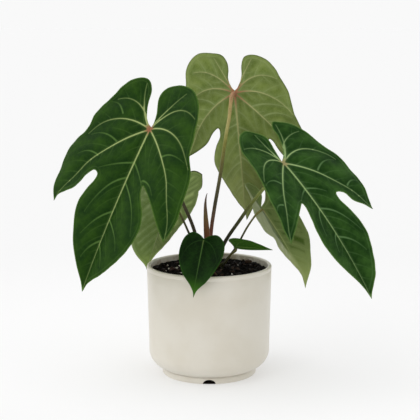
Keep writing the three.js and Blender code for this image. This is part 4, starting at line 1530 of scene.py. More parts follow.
    @staticmethod
    def _normals(points: np.ndarray, triangles: np.ndarray) -> np.ndarray:
        """The way out of the upper face at each point.

        Args:
            points: The surface's points.
            triangles: Its triangles.

        Returns:
            Rows of one unit's length.
        """
        a, b, c = (points[triangles[:, i]] for i in range(3))
        facing = np.cross(b - a, c - a)
        total = np.zeros_like(points)
        for i in range(3):
            np.add.at(total, triangles[:, i], facing)
        return total / np.maximum(np.linalg.norm(total, axis=1), TINY)[:, None]

    def _faces(
        self, middle: np.ndarray, normals: np.ndarray, numbers: dict[str, np.ndarray]
    ) -> tuple[np.ndarray, np.ndarray]:
        """The points of the upper and the under face.

        Args:
            middle: The surface's points.
            normals: The way out of the upper face.
            numbers: The measures of each point.

        Returns:
            The upper points and the under points.
        """
        body = smooth(0.0, self.edge_reach, numbers["from_margin"])
        half = (self.edge_thickness + (self.thickness - self.edge_thickness) * body) / 2
        scale = self.shape.rib_width / LARGE_RIB
        forms = zip(VeinRank, self.rib_forms)
        main, side, fine = (np.exp(-((numbers[rank.value] / form) ** 2)) for rank, form in forms)
        side = side + self.fine_share * fine
        groove = self.groove * scale * main + self.side_groove * self.groove * scale * side
        depth = self.edge_rib + (1 - self.edge_rib) * body
        ridge = (self.rib_depth * main + self.side_rib_depth * side * (1 - main)) * scale * depth
        return middle + normals * (half - groove)[:, None], middle - normals * (half + ridge)[:, None]

    @staticmethod
    def _store_flat_map(mesh: bpy.types.Mesh, flat: np.ndarray) -> None:
        """Keeps the flat drawing as the blade's UV map.

        Args:
            mesh: The blade's mesh.
            flat: Rows of u and v, one for each of its points.
        """
        layer = mesh.uv_layers.new(name="flat")
        corners = np.empty(len(mesh.loops), np.int32)
        mesh.loops.foreach_get("vertex_index", corners)
        layer.data.foreach_set("uv", (flat[corners] / UV_SPAN).astype(np.float32).ravel())


def new_geometry_tree(
    name: str, inputs: dict[str, tuple[str, object]]
) -> tuple[Tree, bpy.types.bpy_prop_collection]:
    """Starts a geometry tree.

    Args:
        name: The tree's name.
        inputs: The name of each input, with its kind and its value or None.

    Returns:
        The tree, and the outputs that hand on its inputs.
    """
    tree = bpy.data.node_groups.new(name, "GeometryNodeTree")
    for label, (kind, value) in inputs.items():
        socket = tree.interface.new_socket(label, in_out="INPUT", socket_type=f"NodeSocket{kind}")
        if value is not None:
            socket.default_value = value
    tree.interface.new_socket("Geometry", in_out="OUTPUT", socket_type="NodeSocketGeometry")
    return tree, add_node(tree, "NodeGroupInput").outputs


def end_geometry_tree(tree: Tree, shape: bpy.types.Node, skin: Socket) -> None:
    """Ends a geometry tree in a plain mesh with its material.

    Args:
        tree: The tree.
        shape: The node that gives the shape.
        skin: The output that gives the material.
    """
    real = add_node(tree, "GeometryNodeRealizeInstances", {"Geometry": shape})
    dressed = add_node(tree, "GeometryNodeSetMaterial", {"Geometry": real, "Material": skin})
    add_node(tree, "NodeGroupOutput", {"Geometry": dressed})


def run_tree(source: bpy.types.Object, tree: Tree, values: dict[str, object], name: str) -> bpy.types.Object:
    """Runs a geometry tree on an object and keeps the result as a plain mesh.

    Args:
        source: The object that the tree starts from. It is removed.
        tree: The geometry tree.
        values: Values for the tree's named inputs.
        name: The new object's name.

    Returns:
        The new object.
    """
    modifier = source.modifiers.new("tree", "NODES")
    modifier.node_group = tree
    for item in tree.interface.items_tree:
        if item.in_out == "INPUT" and item.name in values:
            modifier[item.identifier] = values[item.name]
    graph = bpy.context.evaluated_depsgraph_get()
    mesh = bpy.data.meshes.new_from_object(source.evaluated_get(graph), depsgraph=graph)
    mesh.name = name
    source.modifiers.remove(modifier)
    bpy.data.objects.remove(source)
    made = bpy.data.objects.new(name, mesh)
    bpy.context.scene.collection.objects.link(made)
    return made


def stalk_tree() -> Tree:
    """Builds the tree that sweeps a round section along a path and remembers how far along it is.

    Returns:
        The geometry tree.
    """
    inputs = {"Path": ("Geometry", None), "Sides": ("Int", 14), "Skin": ("Material", None)}
    tree, given = new_geometry_tree("round_along_path", inputs)
    factor = add_node(tree, "GeometryNodeSplineParameter").outputs["Factor"]
    marks = {"Geometry": given["Path"], "Name": "along", "Value": factor}
    marked = add_node(tree, "GeometryNodeStoreNamedAttribute", marks, data_type="FLOAT", domain="POINT")
    round_section = {"Resolution": given["Sides"], "Radius": 1.0}
    section = add_node(tree, "GeometryNodeCurvePrimitiveCircle", round_section)
    radius = add_node(tree, "GeometryNodeInputRadius")
    sweep = {"Curve": marked, "Profile Curve": section, "Scale": radius, "Fill Caps": True}
    swept = add_node(tree, "GeometryNodeCurveToMesh", sweep)
    even = add_node(tree, "GeometryNodeSetShadeSmooth", {"Geometry": swept, "Shade Smooth": True})
    end_geometry_tree(tree, even, given["Skin"])
    return tree


def path_object(name: str, points: np.ndarray, radii: np.ndarray) -> bpy.types.Object:
    """Makes an open path whose points know their radius.

    Args:
        name: The object's name.
        points: Rows of x, y and z in metres.
        radii: A radius in metres for each point.

    Returns:
        The path's object.
    """
    curve = bpy.data.curves.new(name, "CURVE")
    curve.dimensions = "3D"
    spline = curve.splines.new("POLY")
    spline.points.add(len(points) - 1)
    for item, point, radius in zip(spline.points, points, radii):
        item.co = (*point, 1.0)
        item.radius = float(radius)
    made = bpy.data.objects.new(name, curve)
    bpy.context.scene.collection.objects.link(made)
    return made


@dataclass
class LeafStalk:
    """A leaf stalk, thicker at its foot and at the knee that holds the blade."""

    shape: LeafShape
    axis: PotAxis
    tree: Tree
    buried_to: float = 105.0
    straight_to: float = 119.0
    foot_swell: float = 1.2
    foot_span: Span = (10.0, 55.0)
    knee_swell: float = 1.3
    knee_span: Span = (2.6, 0.9)  # in knee lengths before the end
    taper: float = 0.12
    step: float = 1.6
    blade_seat: float = 1.5
    sides: int = 14

    def build(self) -> bpy.types.Object:
        """Makes the stalk.

        Returns:
            The stalk's object.
        """
        stalk = self.shape.stalk
        surface = LeafSurface(self.shape)
        blade = surface.points(np.zeros((1, 2)), np.zeros(1))[0]
        under = -surface.normal_at_stalk()
        heights = (self.buried_to, (self.buried_to + self.straight_to) / 2, self.straight_to)
        foot = [(*stalk.foot, z) for z in heights]
        top = [blade + under * stalk.knee, blade + under * self.blade_seat]
        line = spaced(through_knots(np.array([*foot, *stalk.knots, *top], float)), self.step)
        travelled = lengths_along(line)
        length = travelled[-1]
        knee_start, knee_end = (length - span * stalk.knee for span in self.knee_span)
        swell = 1 + (self.foot_swell - 1) * (1 - smooth(*self.foot_span, travelled))
        knee = 1 + (self.knee_swell - 1) * smooth(knee_start, knee_end, travelled)
        radii = stalk.radius * swell * knee * (1 - self.taper * travelled / length)
        source = path_object(f"path_{self.shape.name}", self.axis.place(line), radii * MM)
        values = {"Sides": self.sides, "Skin": material_of(stalk.finish)}
        return run_tree(source, self.tree, values, f"stalk_of_{self.shape.name}")


@dataclass
class NewLeafSpike:
    """The rolled new leaf in its sheath, standing on the short stem."""

    axis: PotAxis
    tree: Tree
    knots: tuple[Point3, ...] = (
        (-0.4, 3, 127.3), (-1.6, 3, 140), (-2.3, 3, 152), (-3.2, 3, 165),
        (-4.1, 3, 180), (-4.3, 3, 192), (-3.3, 3, 200.4), (-2.2, 3, 203.5),
    )
    radius: float = 4.1
    neck: float = 0.75
    belly_at: float = 0.25
    tip_radius: float = 0.3
    taper: float = 2.0
    step: float = 1.2
    sides: int = 18

    def build(self) -> bpy.types.Object:
        """Makes the spike.

        Returns:
            The spike's object.
        """
        line = spaced(through_knots(np.array(self.knots, float)), self.step)
        t = np.linspace(0.0, 1.0, len(line))
        belly = self.neck + (1 - self.neck) * smooth(0.0, self.belly_at, t)
        radii = self.radius * belly + (self.tip_radius - self.radius * belly) * t**self.taper
        source = path_object("path_new_leaf", self.axis.place(line), radii * MM)
        values = {"Sides": self.sides, "Skin": material_of(SPIKE_FINISH)}
        return run_tree(source, self.tree, values, "rolled_new_leaf")


def turned_mesh(
    name: str,
    profile: list[Point2],
    sides: int,
    axis: PotAxis,
    materials: list[bpy.types.Material],
) -> bpy.types.Object:
    """Turns a closed profile about the pot's axis.

    Args:
        name: The object's name.
        profile: Radius and height pairs, joined from last to first; a radius of 0 is on the axis.
        sides: How many steps make a full turn.
        axis: The pot's axis.
        materials: The object's materials.

    Returns:
        The turned object.
    """
    angles = np.linspace(0.0, 2 * math.pi, sides, endpoint=False)
    points: list[Point3] = []
    rows: list[list[int]] = []
    for radius, height in profile:
        if radius < SAME_PLACE:
            points.append((0.0, 0.0, height))
            rows.append([len(points) - 1] * sides)
            continue
        first = len(points)
        points += [(radius * math.cos(a), radius * math.sin(a), height) for a in angles]
        rows.append(list(range(first, first + sides)))
    faces: list[Face] = []
    closing = rows + ([rows[0]] if profile[0][0] > SAME_PLACE else [])
    for lower, higher in zip(closing, closing[1:]):
        for i in range(sides):
            j = (i + 1) % sides
            face = tuple(dict.fromkeys([lower[i], lower[j], higher[j], higher[i]]))
            if len(face) > 2:
                faces.append(face)
    return mesh_object(name, axis.place(np.array(points)), faces, materials)


def arc(centre: Point2, radius: float, start: float, end: float, steps: int) -> list[Point2]:
    """Points of a profile's arc.

    Args:
        centre: The arc's centre, as radius and height.
        radius: The arc's radius.
        start: Its first angle in degrees.
        end: Its last angle in degrees.
        steps: How many steps it has.

    Returns:
        The arc's points.
    """
    angles = [math.radians(start + (end - start) * i / steps) for i in range(steps + 1)]
    return [(centre[0] + radius * math.cos(a), centre[1] + radius * math.sin(a)) for a in angles]


@dataclass
class StonewarePot:
    """The footed pot: a thin wall, a rounded lip, and notches in the foot that let water out."""

    axis: PotAxis
    height: float = 123.8
    rim_radius: float = 70.0
    wall: float = 4.4
    lip_round: float = 1.9
    lip_steps: int = 14
    belly: tuple[Point2, ...] = ((68.0, 36.0), (68.6, 60.0), (69.2, 85.0), (69.7, 108.0))
    rim_line: tuple[Point2, ...] = ((69.85, 118.2), (69.6, 118.6), (69.6, 118.9), (69.95, 119.3))
    corner_round: float = 20.0
    corner_start: float = -78.0
    corner_steps: int = 18
    waist_radius: float = 68.0
    foot_radius: float = 53.0
    foot_height: float = 6.8
    foot_wall: float = 7.0
    foot_edge: float = 0.9
    foot_steps: int = 3
    groove_depth: float = 1.4
    groove_run: tuple[Point2, ...] = ((0.0, 1.6), (0.3, 0.8))  # in from the foot, below its top
    groove_gap: float = 0.3
    floor_underside: float = 6.5
    floor_chamfer: float = 1.5
    floor_top: float = 11.5
    inside_round: float = 14.0
    inside_steps: int = 10
    inside_heights: Span = (112.0, 80.0)
    drain_radius: float = 6.0
    notch_width: float = 14.0
    notch_height: float = 5.0
    notch_sides: int = 28
    notch_angles: Span = (-90.0, 90.0)
    sides: int = 160
    inner_brown_in: Span = (3.2, 4.2)  # the inner wall's brown begins and is full this far in from the rim's outside
    inner_brown_below: Span = (0.5, 3.2)  # and this far below the lip
    inner_brown_above: Span = (0.3, 0.5)  # and at these shares of the height
    foot_shade_in: Span = (1.2, 2.0)  # painted shade begins and is full this far in from the foot's outside
    foot_shade_above: Span = (1.5, 0.5)  # and this far above the floor's underside

    def build(self) -> bpy.types.Object:
        """Makes the pot and cuts its notches.

        Returns:
            The pot's object.
        """
        finish = [material_of(StonewareFinish())]
        pot = turned_mesh("stoneware_pot", self._profile(), self.sides, self.axis, finish)
        for turn in self.notch_angles:
            self._cut_notch(pot, turn)
        self._mark_surfaces(pot.data)
        return pot

    def _inner_radius(self, height: float) -> float:
        """The inner wall's radius at a height."""
        t = (height - self.floor_top) / (self.height - self.floor_top)
        return self.waist_radius + (self.rim_radius - self.waist_radius) * t - self.wall

    def _profile(self) -> list[Point2]:
        """The wall's section, from the foot up the outside and down the inside.

        Returns:
            Radius and height pairs.
        """
        foot, edge = self.foot_radius, self.foot_edge
        inner_foot = foot - self.foot_wall
        corner_z = self.foot_height + self.corner_round + self.groove_gap
        corner = (self.waist_radius - self.corner_round, corner_z)
        lip_z = self.height - self.lip_round
        inner_z = self.floor_top + self.inside_round
        inner_corner = (self._inner_radius(inner_z) - self.inside_round, inner_z)
        half_wall = self.wall / 2
        return [
            (inner_foot + edge, 0.0),
            (foot - edge, 0.0),
            *arc((foot - edge, edge), edge, -60, 0, self.foot_steps),
            *[(foot - inwards, self.foot_height - below) for inwards, below in self.groove_run],
            (foot - self.groove_depth, self.foot_height),
            *arc(corner, self.corner_round, self.corner_start, 0, self.corner_steps),
            *self.belly,
            *self.rim_line,
            *[
                (self.rim_radius - half_wall + r * half_wall, lip_z + z * self.lip_round)
                for r, z in arc((0, 0), 1.0, 0, 180, self.lip_steps)
            ],
            *[(self._inner_radius(height), height) for height in self.inside_heights],
            *arc(inner_corner, self.inside_round, 0, -90, self.inside_steps),
            (self.drain_radius, self.floor_top),
            (self.drain_radius, self.floor_underside),
            (inner_foot - self.floor_chamfer, self.floor_underside),
            (inner_foot, self.floor_underside - self.floor_chamfer),
            (inner_foot, edge),
        ]

    def _cut_notch(self, pot: bpy.types.Object, turn: float) -> None:
        """Cuts one half-round notch through the foot.

        Args:
            pot: The pot.
            turn: The notch's direction round the pot, in degrees from +X.
        """
        steps = self.notch_sides
        centre = self.foot_radius - self.foot_wall / 2
        reach = 3 * self.foot_wall / 2
        angles = [2 * math.pi * i / steps for i in range(steps)]
        points = np.array([
            (away, self.notch_width / 2 * math.cos(a), self.notch_height * math.sin(a))
            for away in (centre - reach, centre + reach)
            for a in angles
        ])
        spin = np.array(Euler((0, 0, math.radians(turn))).to_matrix())
        faces: list[Face] = [(i, (i + 1) % steps, steps + (i + 1) % steps, steps + i) for i in range(steps)]
        faces += [tuple(range(steps))[::-1], tuple(range(steps, 2 * steps))]
        cutter = mesh_object("notch", self.axis.place(points @ spin.T), faces, [])
        modifier = pot.modifiers.new("notch", "BOOLEAN")
        modifier.operation = "DIFFERENCE"
        modifier.solver = "EXACT"
        modifier.object = cutter
        graph = bpy.context.evaluated_depsgraph_get()
        cut = bpy.data.meshes.new_from_object(pot.evaluated_get(graph), depsgraph=graph)
        pot.modifiers.remove(modifier)
        pot.data = cut
        bpy.data.objects.remove(cutter)

    def _mark_surfaces(self, mesh: bpy.types.Mesh) -> None:
        """Marks the inner wall, which gets a darker brown in patches, and the hollow inside the foot, which
        gets painted shade.

        Args:
            mesh: The pot's mesh.
        """
        places = np.array([v.co for v in mesh.vertices])
        radius = np.hypot(places[:, 0] - self.axis.x, places[:, 1] - self.axis.y) / MM
        height = places[:, 2] / MM
        inner = smooth(*(self.rim_radius - d for d in self.inner_brown_in), radius)
        below_lip = smooth(*(self.height - d for d in self.inner_brown_below), height)
        above_floor = smooth(*(self.height * share for share in self.inner_brown_above), height)
        store_numbers(mesh, "inside", inner * below_lip * above_floor)
        # The hollow inside the foot, which the glaze paints dark as painted shade.
        under = smooth(*(self.foot_radius - d for d in self.foot_shade_in), radius)
        low = smooth(*(self.floor_underside + d for d in self.foot_shade_above), height)
        store_numbers(mesh, "painted_foot_shade", under * low)


class Grain(Enum):
    """The kinds of grain in the potting mix."""

    FINE = "fine"
    CRUMB = "crumb"
    CHIP = "chip"
    PERLITE = "perlite"


@dataclass(frozen=True)
class GrainShape:
    """How large, how many and how flat one kind of grain is."""

    kind: Grain
    finish: GrainFinish
    per_square_centimetre: float
    smallest: float
    largest: float
    stretch: Point3
    sink: float
    seed: int
    roundness: int = 2
    tilt: float = 3.1  # radians: a grain lies any way up, and only chips lie nearly flat


# Wet bark dust: almost black, with a faint damp shine.
DARK_BARK = GrainFinish(
    name="damp_bark_fines", dark="040302", light="160f0a", roughness=0.85, grit=0.8, gloss=0.12
)
# Rotted bark: the broken faces show a warmer brown.
BARK_CHIP = GrainFinish(name="composted_bark_chip", dark="080503", light="4a3424", roughness=0.6, grit=1.1)
# Glass rock that was puffed up by heat: dull white foam, the lightest thing in the pot.
WHITE_PERLITE = GrainFinish(
    name="expanded_perlite", dark="a8a296", light="f0ede4", roughness=0.9, grit=0.6
)
# Bark that hasn't rotted yet: a red brown.
RED_BARK = GrainFinish(name="fresh_bark_piece", dark="1d0c07", light="4a2316", roughness=0.6, grit=1.3)
# The dry skin of the short stem, with green under the brown.
STEM_BARK = GrainFinish(name="stem_bark", dark="3a2f1a", light="6f6238", roughness=0.7, grit=0.9)

GRAINS = (
    GrainShape(
        Grain.FINE, DARK_BARK, per_square_centimetre=20.0, smallest=0.5, largest=1.1,
        stretch=(1.0, 0.8, 0.7), sink=0.1, seed=3, roundness=1,
    ),
    GrainShape(
        Grain.CRUMB, DARK_BARK, per_square_centimetre=6.0, smallest=1.1, largest=2.3,
        stretch=(1.0, 0.85, 0.7), sink=0.1, seed=8,
    ),
    GrainShape(
        Grain.CHIP, BARK_CHIP, per_square_centimetre=1.6, smallest=2.2, largest=4.6,
        stretch=(1.0, 0.55, 0.3), sink=0.2, seed=14, tilt=0.6,
    ),
    GrainShape(
        Grain.PERLITE, WHITE_PERLITE, per_square_centimetre=0.16, smallest=0.5, largest=1.0,
        stretch=(1.0, 0.9, 0.8), sink=0.3, seed=21,
    ),
)


@dataclass(frozen=True)
class PlacedGrain:
    """A grain that is seen clearly: its middle, its radius and what it is made of."""

    place: Point2
    radius: float
    finish: GrainFinish


SHOWN_GRAINS = (
    PlacedGrain((-45.0, 2.0), 1.8, WHITE_PERLITE),
    PlacedGrain((-36.5, 3.0), 1.7, WHITE_PERLITE),
    PlacedGrain((-33.5, 15.0), 1.4, WHITE_PERLITE),
    PlacedGrain((-49.0, -10.0), 1.5, WHITE_PERLITE),
    PlacedGrain((-47.5, 20.0), 0.9, WHITE_PERLITE),
    PlacedGrain((-31.0, -20.0), 1.0, WHITE_PERLITE),
    PlacedGrain((23.0, 24.0), 0.9, WHITE_PERLITE),
    PlacedGrain((32.5, 23.0), 0.9, WHITE_PERLITE),
    PlacedGrain((25.0, -27.0), 1.0, WHITE_PERLITE),
    PlacedGrain((-41.0, -4.0), 4.2, RED_BARK),
    PlacedGrain((45.0, 36.0), 4.0, BARK_CHIP),
    PlacedGrain((51.0, 24.0), 3.2, BARK_CHIP),
)


def scatter_tree(roundness: int, variants: int = 4) -> Tree:
    """Builds the tree that strews knobbly grains over a surface.

    Args:
        roundness: How often the grain's first 20 faces are split, counted from 1.
        variants: How many different grains are strewn.

    Returns:
        The geometry tree.
    """
    tree, given = new_geometry_tree(
        f"strewn_grains_{roundness}",
        {
            "Bed": ("Geometry", None),
            "Density": ("Float", 10.0),
            "Smallest": ("Float", 0.001),
            "Largest": ("Float", 0.002),
            "Stretch": ("Vector", (1.0, 1.0, 1.0)),
            "Tilt": ("Float", 0.5),
            "Seed": ("Int", 1),
            "Skin": ("Material", None),
        },
    )
    seed = given["Seed"]
    strewing = {"Mesh": given["Bed"], "Density": given["Density"], "Seed": seed}
    points = add_node(tree, "GeometryNodeDistributePointsOnFaces", strewing, distribute_method="RANDOM")
    place = add_node(tree, "GeometryNodeInputPosition")
    joined = add_node(tree, "GeometryNodeJoinGeometry")
    for variant in range(variants):
        ball = add_node(tree, "GeometryNodeMeshIcoSphere", {"Radius": 1.0, "Subdivisions": roundness})
        shift = {0: place, 1: (3.1 * variant, 1.7 * variant, 0.6)}
        shifted = add_node(tree, "ShaderNodeVectorMath", shift, operation="ADD")
        lumps = add_node(tree, "ShaderNodeTexNoise", {"Vector": shifted, "Scale": 1.1, "Detail": 2.0})
        middle = {0: lumps.outputs["Color"], 1: (0.5, 0.5, 0.5)}
        centred = add_node(tree, "ShaderNodeVectorMath", middle, operation="SUBTRACT")
        pushed = add_node(tree, "ShaderNodeVectorMath", {0: centred, "Scale": 1.5}, operation="SCALE")
        moved = add_node(tree, "GeometryNodeSetPosition", {"Geometry": ball, "Offset": pushed})
        flattened = add_node(tree, "GeometryNodeTransform", {"Geometry": moved, "Scale": given["Stretch"]})
        single = add_node(tree, "GeometryNodeGeometryToInstance", {"Geometry": flattened})
        feed(tree, joined, {0: single})
    back = add_node(tree, "ShaderNodeMath", {0: given["Tilt"], 1: -1.0}, operation="MULTIPLY")
    least = add_node(tree, "ShaderNodeCombineXYZ", {0: back, 1: back, 2: -3.14})
    most = add_node(tree, "ShaderNodeCombineXYZ", {0: given["Tilt"], 1: given["Tilt"], 2: 3.14})
    turns = {"Min": least, "Max": most, "Seed": seed}
    spin = add_node(tree, "FunctionNodeRandomValue", turns, data_type="FLOAT_VECTOR")
    sizes = {2: given["Smallest"], 3: given["Largest"], "Seed": seed}
    size = add_node(tree, "FunctionNodeRandomValue", sizes, data_type="FLOAT").outputs[1]
    choice = {4: 0, 5: variants - 1, "Seed": seed}
    which = add_node(tree, "FunctionNodeRandomValue", choice, data_type="INT").outputs[2]
    tone = add_node(tree, "FunctionNodeRandomValue", data_type="FLOAT").outputs[1]
    marks = {"Geometry": points, "Name": "tone", "Value": tone}
    marked = add_node(tree, "GeometryNodeStoreNamedAttribute", marks, data_type="FLOAT", domain="POINT")
    grains = {
        "Points": marked, "Instance": joined, "Pick Instance": True, "Instance Index": which,
        "Rotation": spin, "Scale": size,
    }
    end_geometry_tree(tree, add_node(tree, "GeometryNodeInstanceOnPoints", grains), given["Skin"])
    return tree


@dataclass(frozen=True)
class Knobs:
    """One size of lumps on a grain."""

    scale: float
    height: float
    stride: float  # from one grain's place in the noise to the next
    start: Point2


GRAIN_KNOBS = (Knobs(1.3, 0.38, 7.0, (3.0, 1.0)), Knobs(4.0, 0.1, 5.0, (9.0, 2.0)))


def knobbly_ball(seed: int, splits: int = 3) -> tuple[np.ndarray, list[Face]]:
    """A lumpy ball about one unit in radius.

    Args:
        seed: Which of many balls.
        splits: How often its first 20 faces are split, counted from 1.

    Returns:
        Its points and its faces.
    """
    shape = bmesh.new()
    bmesh.ops.create_icosphere(shape, subdivisions=splits, radius=1.0)
    points = []
    for vertex in shape.verts:
        rise = 1.0
        for knobs in GRAIN_KNOBS:
            rise += knobs.height * noise.noise(
                knobs.scale * vertex.co + Vector((knobs.stride * seed, *knobs.start))
            )
        points.append(vertex.co * rise)
    faces = [tuple(v.index for v in face.verts) for face in shape.faces]
    shape.free()
    return np.array(points), faces


@dataclass
class BarkMix:
    """The potting mix: an uneven bed with fines, crumbs, bark chips and white perlite on it."""

    axis: PotAxis
    level: float = 117.0
    radius: float = 65.2
    mound_height: float = 1.6
    mound_spread: float = 24.0
    stem: Point2 = (2.0, 3.0)
    lump_height: float = 0.55
    lump_width: float = 27.0
    lump_depth: float = 33.0
    lump_phase: float = 1.1
    slant_width: float = 21.0
    slant_depth: float = 15.0
    slant_share: float = 0.6
    roughness: float = 1.5
    clod: float = 9.0
    clod_slice: float = 18.0  # the height at which the noise of the clods is cut
    clod_octaves: int = 4
    depth: float = 30.0
    rings: int = 44
    sides: int = 120
    strewn_radius: float = 63.0
    strewn_rings: int = 20
    shown_rise: float = 0.35  # how far a placed grain's middle stands out, in its radius
    shown_squash: Point3 = (1.0, 0.85, 0.75)
    shown_tone_step: float = 0.37

    def height(self, x: float, y: float) -> float:
        """The bed's height at a place.

        Args:
            x: Millimetres from the pot's axis.
            y: Millimetres from the pot's axis.

        Returns:
            Millimetres above the surface that the pot stands on.
        """
        from_stem = math.hypot(x - self.stem[0], y - self.stem[1])
        mound = self.mound_height * math.exp(-((from_stem / self.mound_spread) ** 2))
        turn = 2 * math.pi
        lumps = math.sin(turn * x / self.lump_width + self.lump_phase) * math.cos(turn * y / self.lump_depth)
        slanted = self.slant_share * math.sin(turn * y / self.slant_depth - turn * x / self.slant_width)
        place = Vector((x, y, self.clod_slice)) / self.clod
        rough = self.roughness * noise.fractal(place, 1.0, 2.0, self.clod_octaves)
        return self.level + mound + self.lump_height * (lumps + slanted) + rough

    def build(self) -> list[bpy.types.Object]:
        """Makes the bed and everything strewn on it.

        Returns:
            The bed, one object for each kind of grain, and the placed grains.
        """
        pieces = [self._bed()]
        trees = {r: scatter_tree(r) for r in sorted({g.roundness for g in GRAINS})}
        for shape in GRAINS:
            points, faces = self._disc(self.strewn_radius - shape.largest, self.strewn_rings, shape.sink)
            source = mesh_object(f"bed_for_{shape.kind.value}", self.axis.place(np.array(points)), faces, [])
            values = {
                "Density": shape.per_square_centimetre * PER_SQUARE_METRE,
                "Smallest": shape.smallest * MM,
                "Largest": shape.largest * MM,
                "Stretch": shape.stretch,
                "Tilt": shape.tilt,
                "Seed": shape.seed,
                "Skin": material_of(shape.finish),
            }
            pieces.append(run_tree(source, trees[shape.roundness], values, f"mix_{shape.kind.value}"))
        return [*pieces, self._shown_grains()]

    def _shown_grains(self) -> bpy.types.Object:
        """The grains that have a place of their own, in one object.

        Returns:
            The object.
        """
        finishes = list(dict.fromkeys(g.finish for g in SHOWN_GRAINS))
        points: list[np.ndarray] = []
        faces: list[Face] = []
        slots: list[int] = []
        for number, grain in enumerate(SHOWN_GRAINS):
            ball, ball_faces = knobbly_ball(number)
            x, y = grain.place
            middle = np.array([x, y, self.height(x, y) + self.shown_rise * grain.radius])
            first = sum(len(p) for p in points)
            points.append(middle + grain.radius * ball * np.array(self.shown_squash))
            faces += [tuple(first + i for i in face) for face in ball_faces]
            slots += [finishes.index(grain.finish)] * len(ball_faces)
        materials = [material_of(f) for f in finishes]
        places = self.axis.place(np.concatenate(points))
        made = mesh_object("mix_shown_grains", places, faces, materials, slots)
        tones = [np.full(len(p), (self.shown_tone_step * i) % 1.0) for i, p in enumerate(points)]
        store_numbers(made.data, "tone", np.concatenate(tones))
        return made

    def _disc(self, radius: float, rings: int, lower: float) -> tuple[list[Point3], list[Face]]:
        """A disc of points on the bed.

        Args:
            radius: The disc's radius.
            rings: How many rings it has.
            lower: How far it lies below the bed.

        Returns:
            The points and the faces.
        """
        points: list[Point3] = [(0.0, 0.0, self.height(0.0, 0.0) - lower)]
        for ring in range(1, rings + 1):
            away = radius * ring / rings
            for i in range(self.sides):
                angle = 2 * math.pi * i / self.sides
                x, y = away * math.cos(angle), away * math.sin(angle)
                points.append((x, y, self.height(x, y) - lower))
        faces: list[Face] = [(0, 1 + i, 1 + (i + 1) % self.sides) for i in range(self.sides)]
        for ring in range(1, rings):
            first = 1 + (ring - 1) * self.sides
            for i in range(self.sides):
                j = (i + 1) % self.sides
                faces.append((first + i, first + self.sides + i, first + self.sides + j, first + j))
        return points, faces

    def _bed(self) -> bpy.types.Object:
        """The closed plug whose top is the bed.

        Returns:
            The plug's object.
        """
        points, faces = self._disc(self.radius, self.rings, 0.0)
        rim = 1 + (self.rings - 1) * self.sides
        bottom = len(points)
        low = self.level - self.depth
        for i in range(self.sides):
            angle = 2 * math.pi * i / self.sides
            points.append((self.radius * math.cos(angle), self.radius * math.sin(angle), low))
        points.append((0.0, 0.0, low))
        for i in range(self.sides):
            j = (i + 1) % self.sides
            faces.append((rim + i, bottom + i, bottom + j, rim + j))
            faces.append((bottom + j, bottom + i, len(points) - 1))
        return mesh_object("mix_bed", self.axis.place(np.array(points)), faces, [material_of(DARK_BARK)])


@dataclass
class ShortStem:
    """The stem that all leaves grow round, ringed by the scars of old leaves."""

    axis: PotAxis
    centre: Point2 = (2.0, 3.0)
    radius: float = 5.4
    buried_to: float = 108.0
    foot_edge: float = 0.6
    top: float = 127.0
    sides: int = 40
    # Each point of a scar is (below the top, inwards).
    scars: tuple[Point2, ...] = (
        (7.5, 0.0), (7.0, 0.5), (5.5, 0.2), (3.5, 0.5), (3.0, 0.9), (1.0, 0.8), (0.3, 1.3), (0.0, 2.2),
    )

    def build(self) -> bpy.types.Object:
        """Makes the stem.

        Returns:
            The stem's object.
        """
        profile = [
            (0.0, self.buried_to),
            (self.radius - self.foot_edge, self.buried_to),
            (self.radius, self.buried_to + self.foot_edge),
            *[(self.radius - inwards, self.top - below) for below, inwards in self.scars],
            (0.0, self.top),
        ]
        moved = PotAxis(self.axis.x + self.centre[0] * MM, self.axis.y + self.centre[1] * MM)
        return turned_mesh("short_stem", profile, self.sides, moved, [material_of(STEM_BARK)])


@dataclass(frozen=True)
class SoftLobe:
    """A soft bright patch of the light tent: where it is seen from the plant, how strong and how wide."""

    towards: Point3
    strength: float
    edge: Span  # cosines of the angles from its middle where it has faded away and where it is full


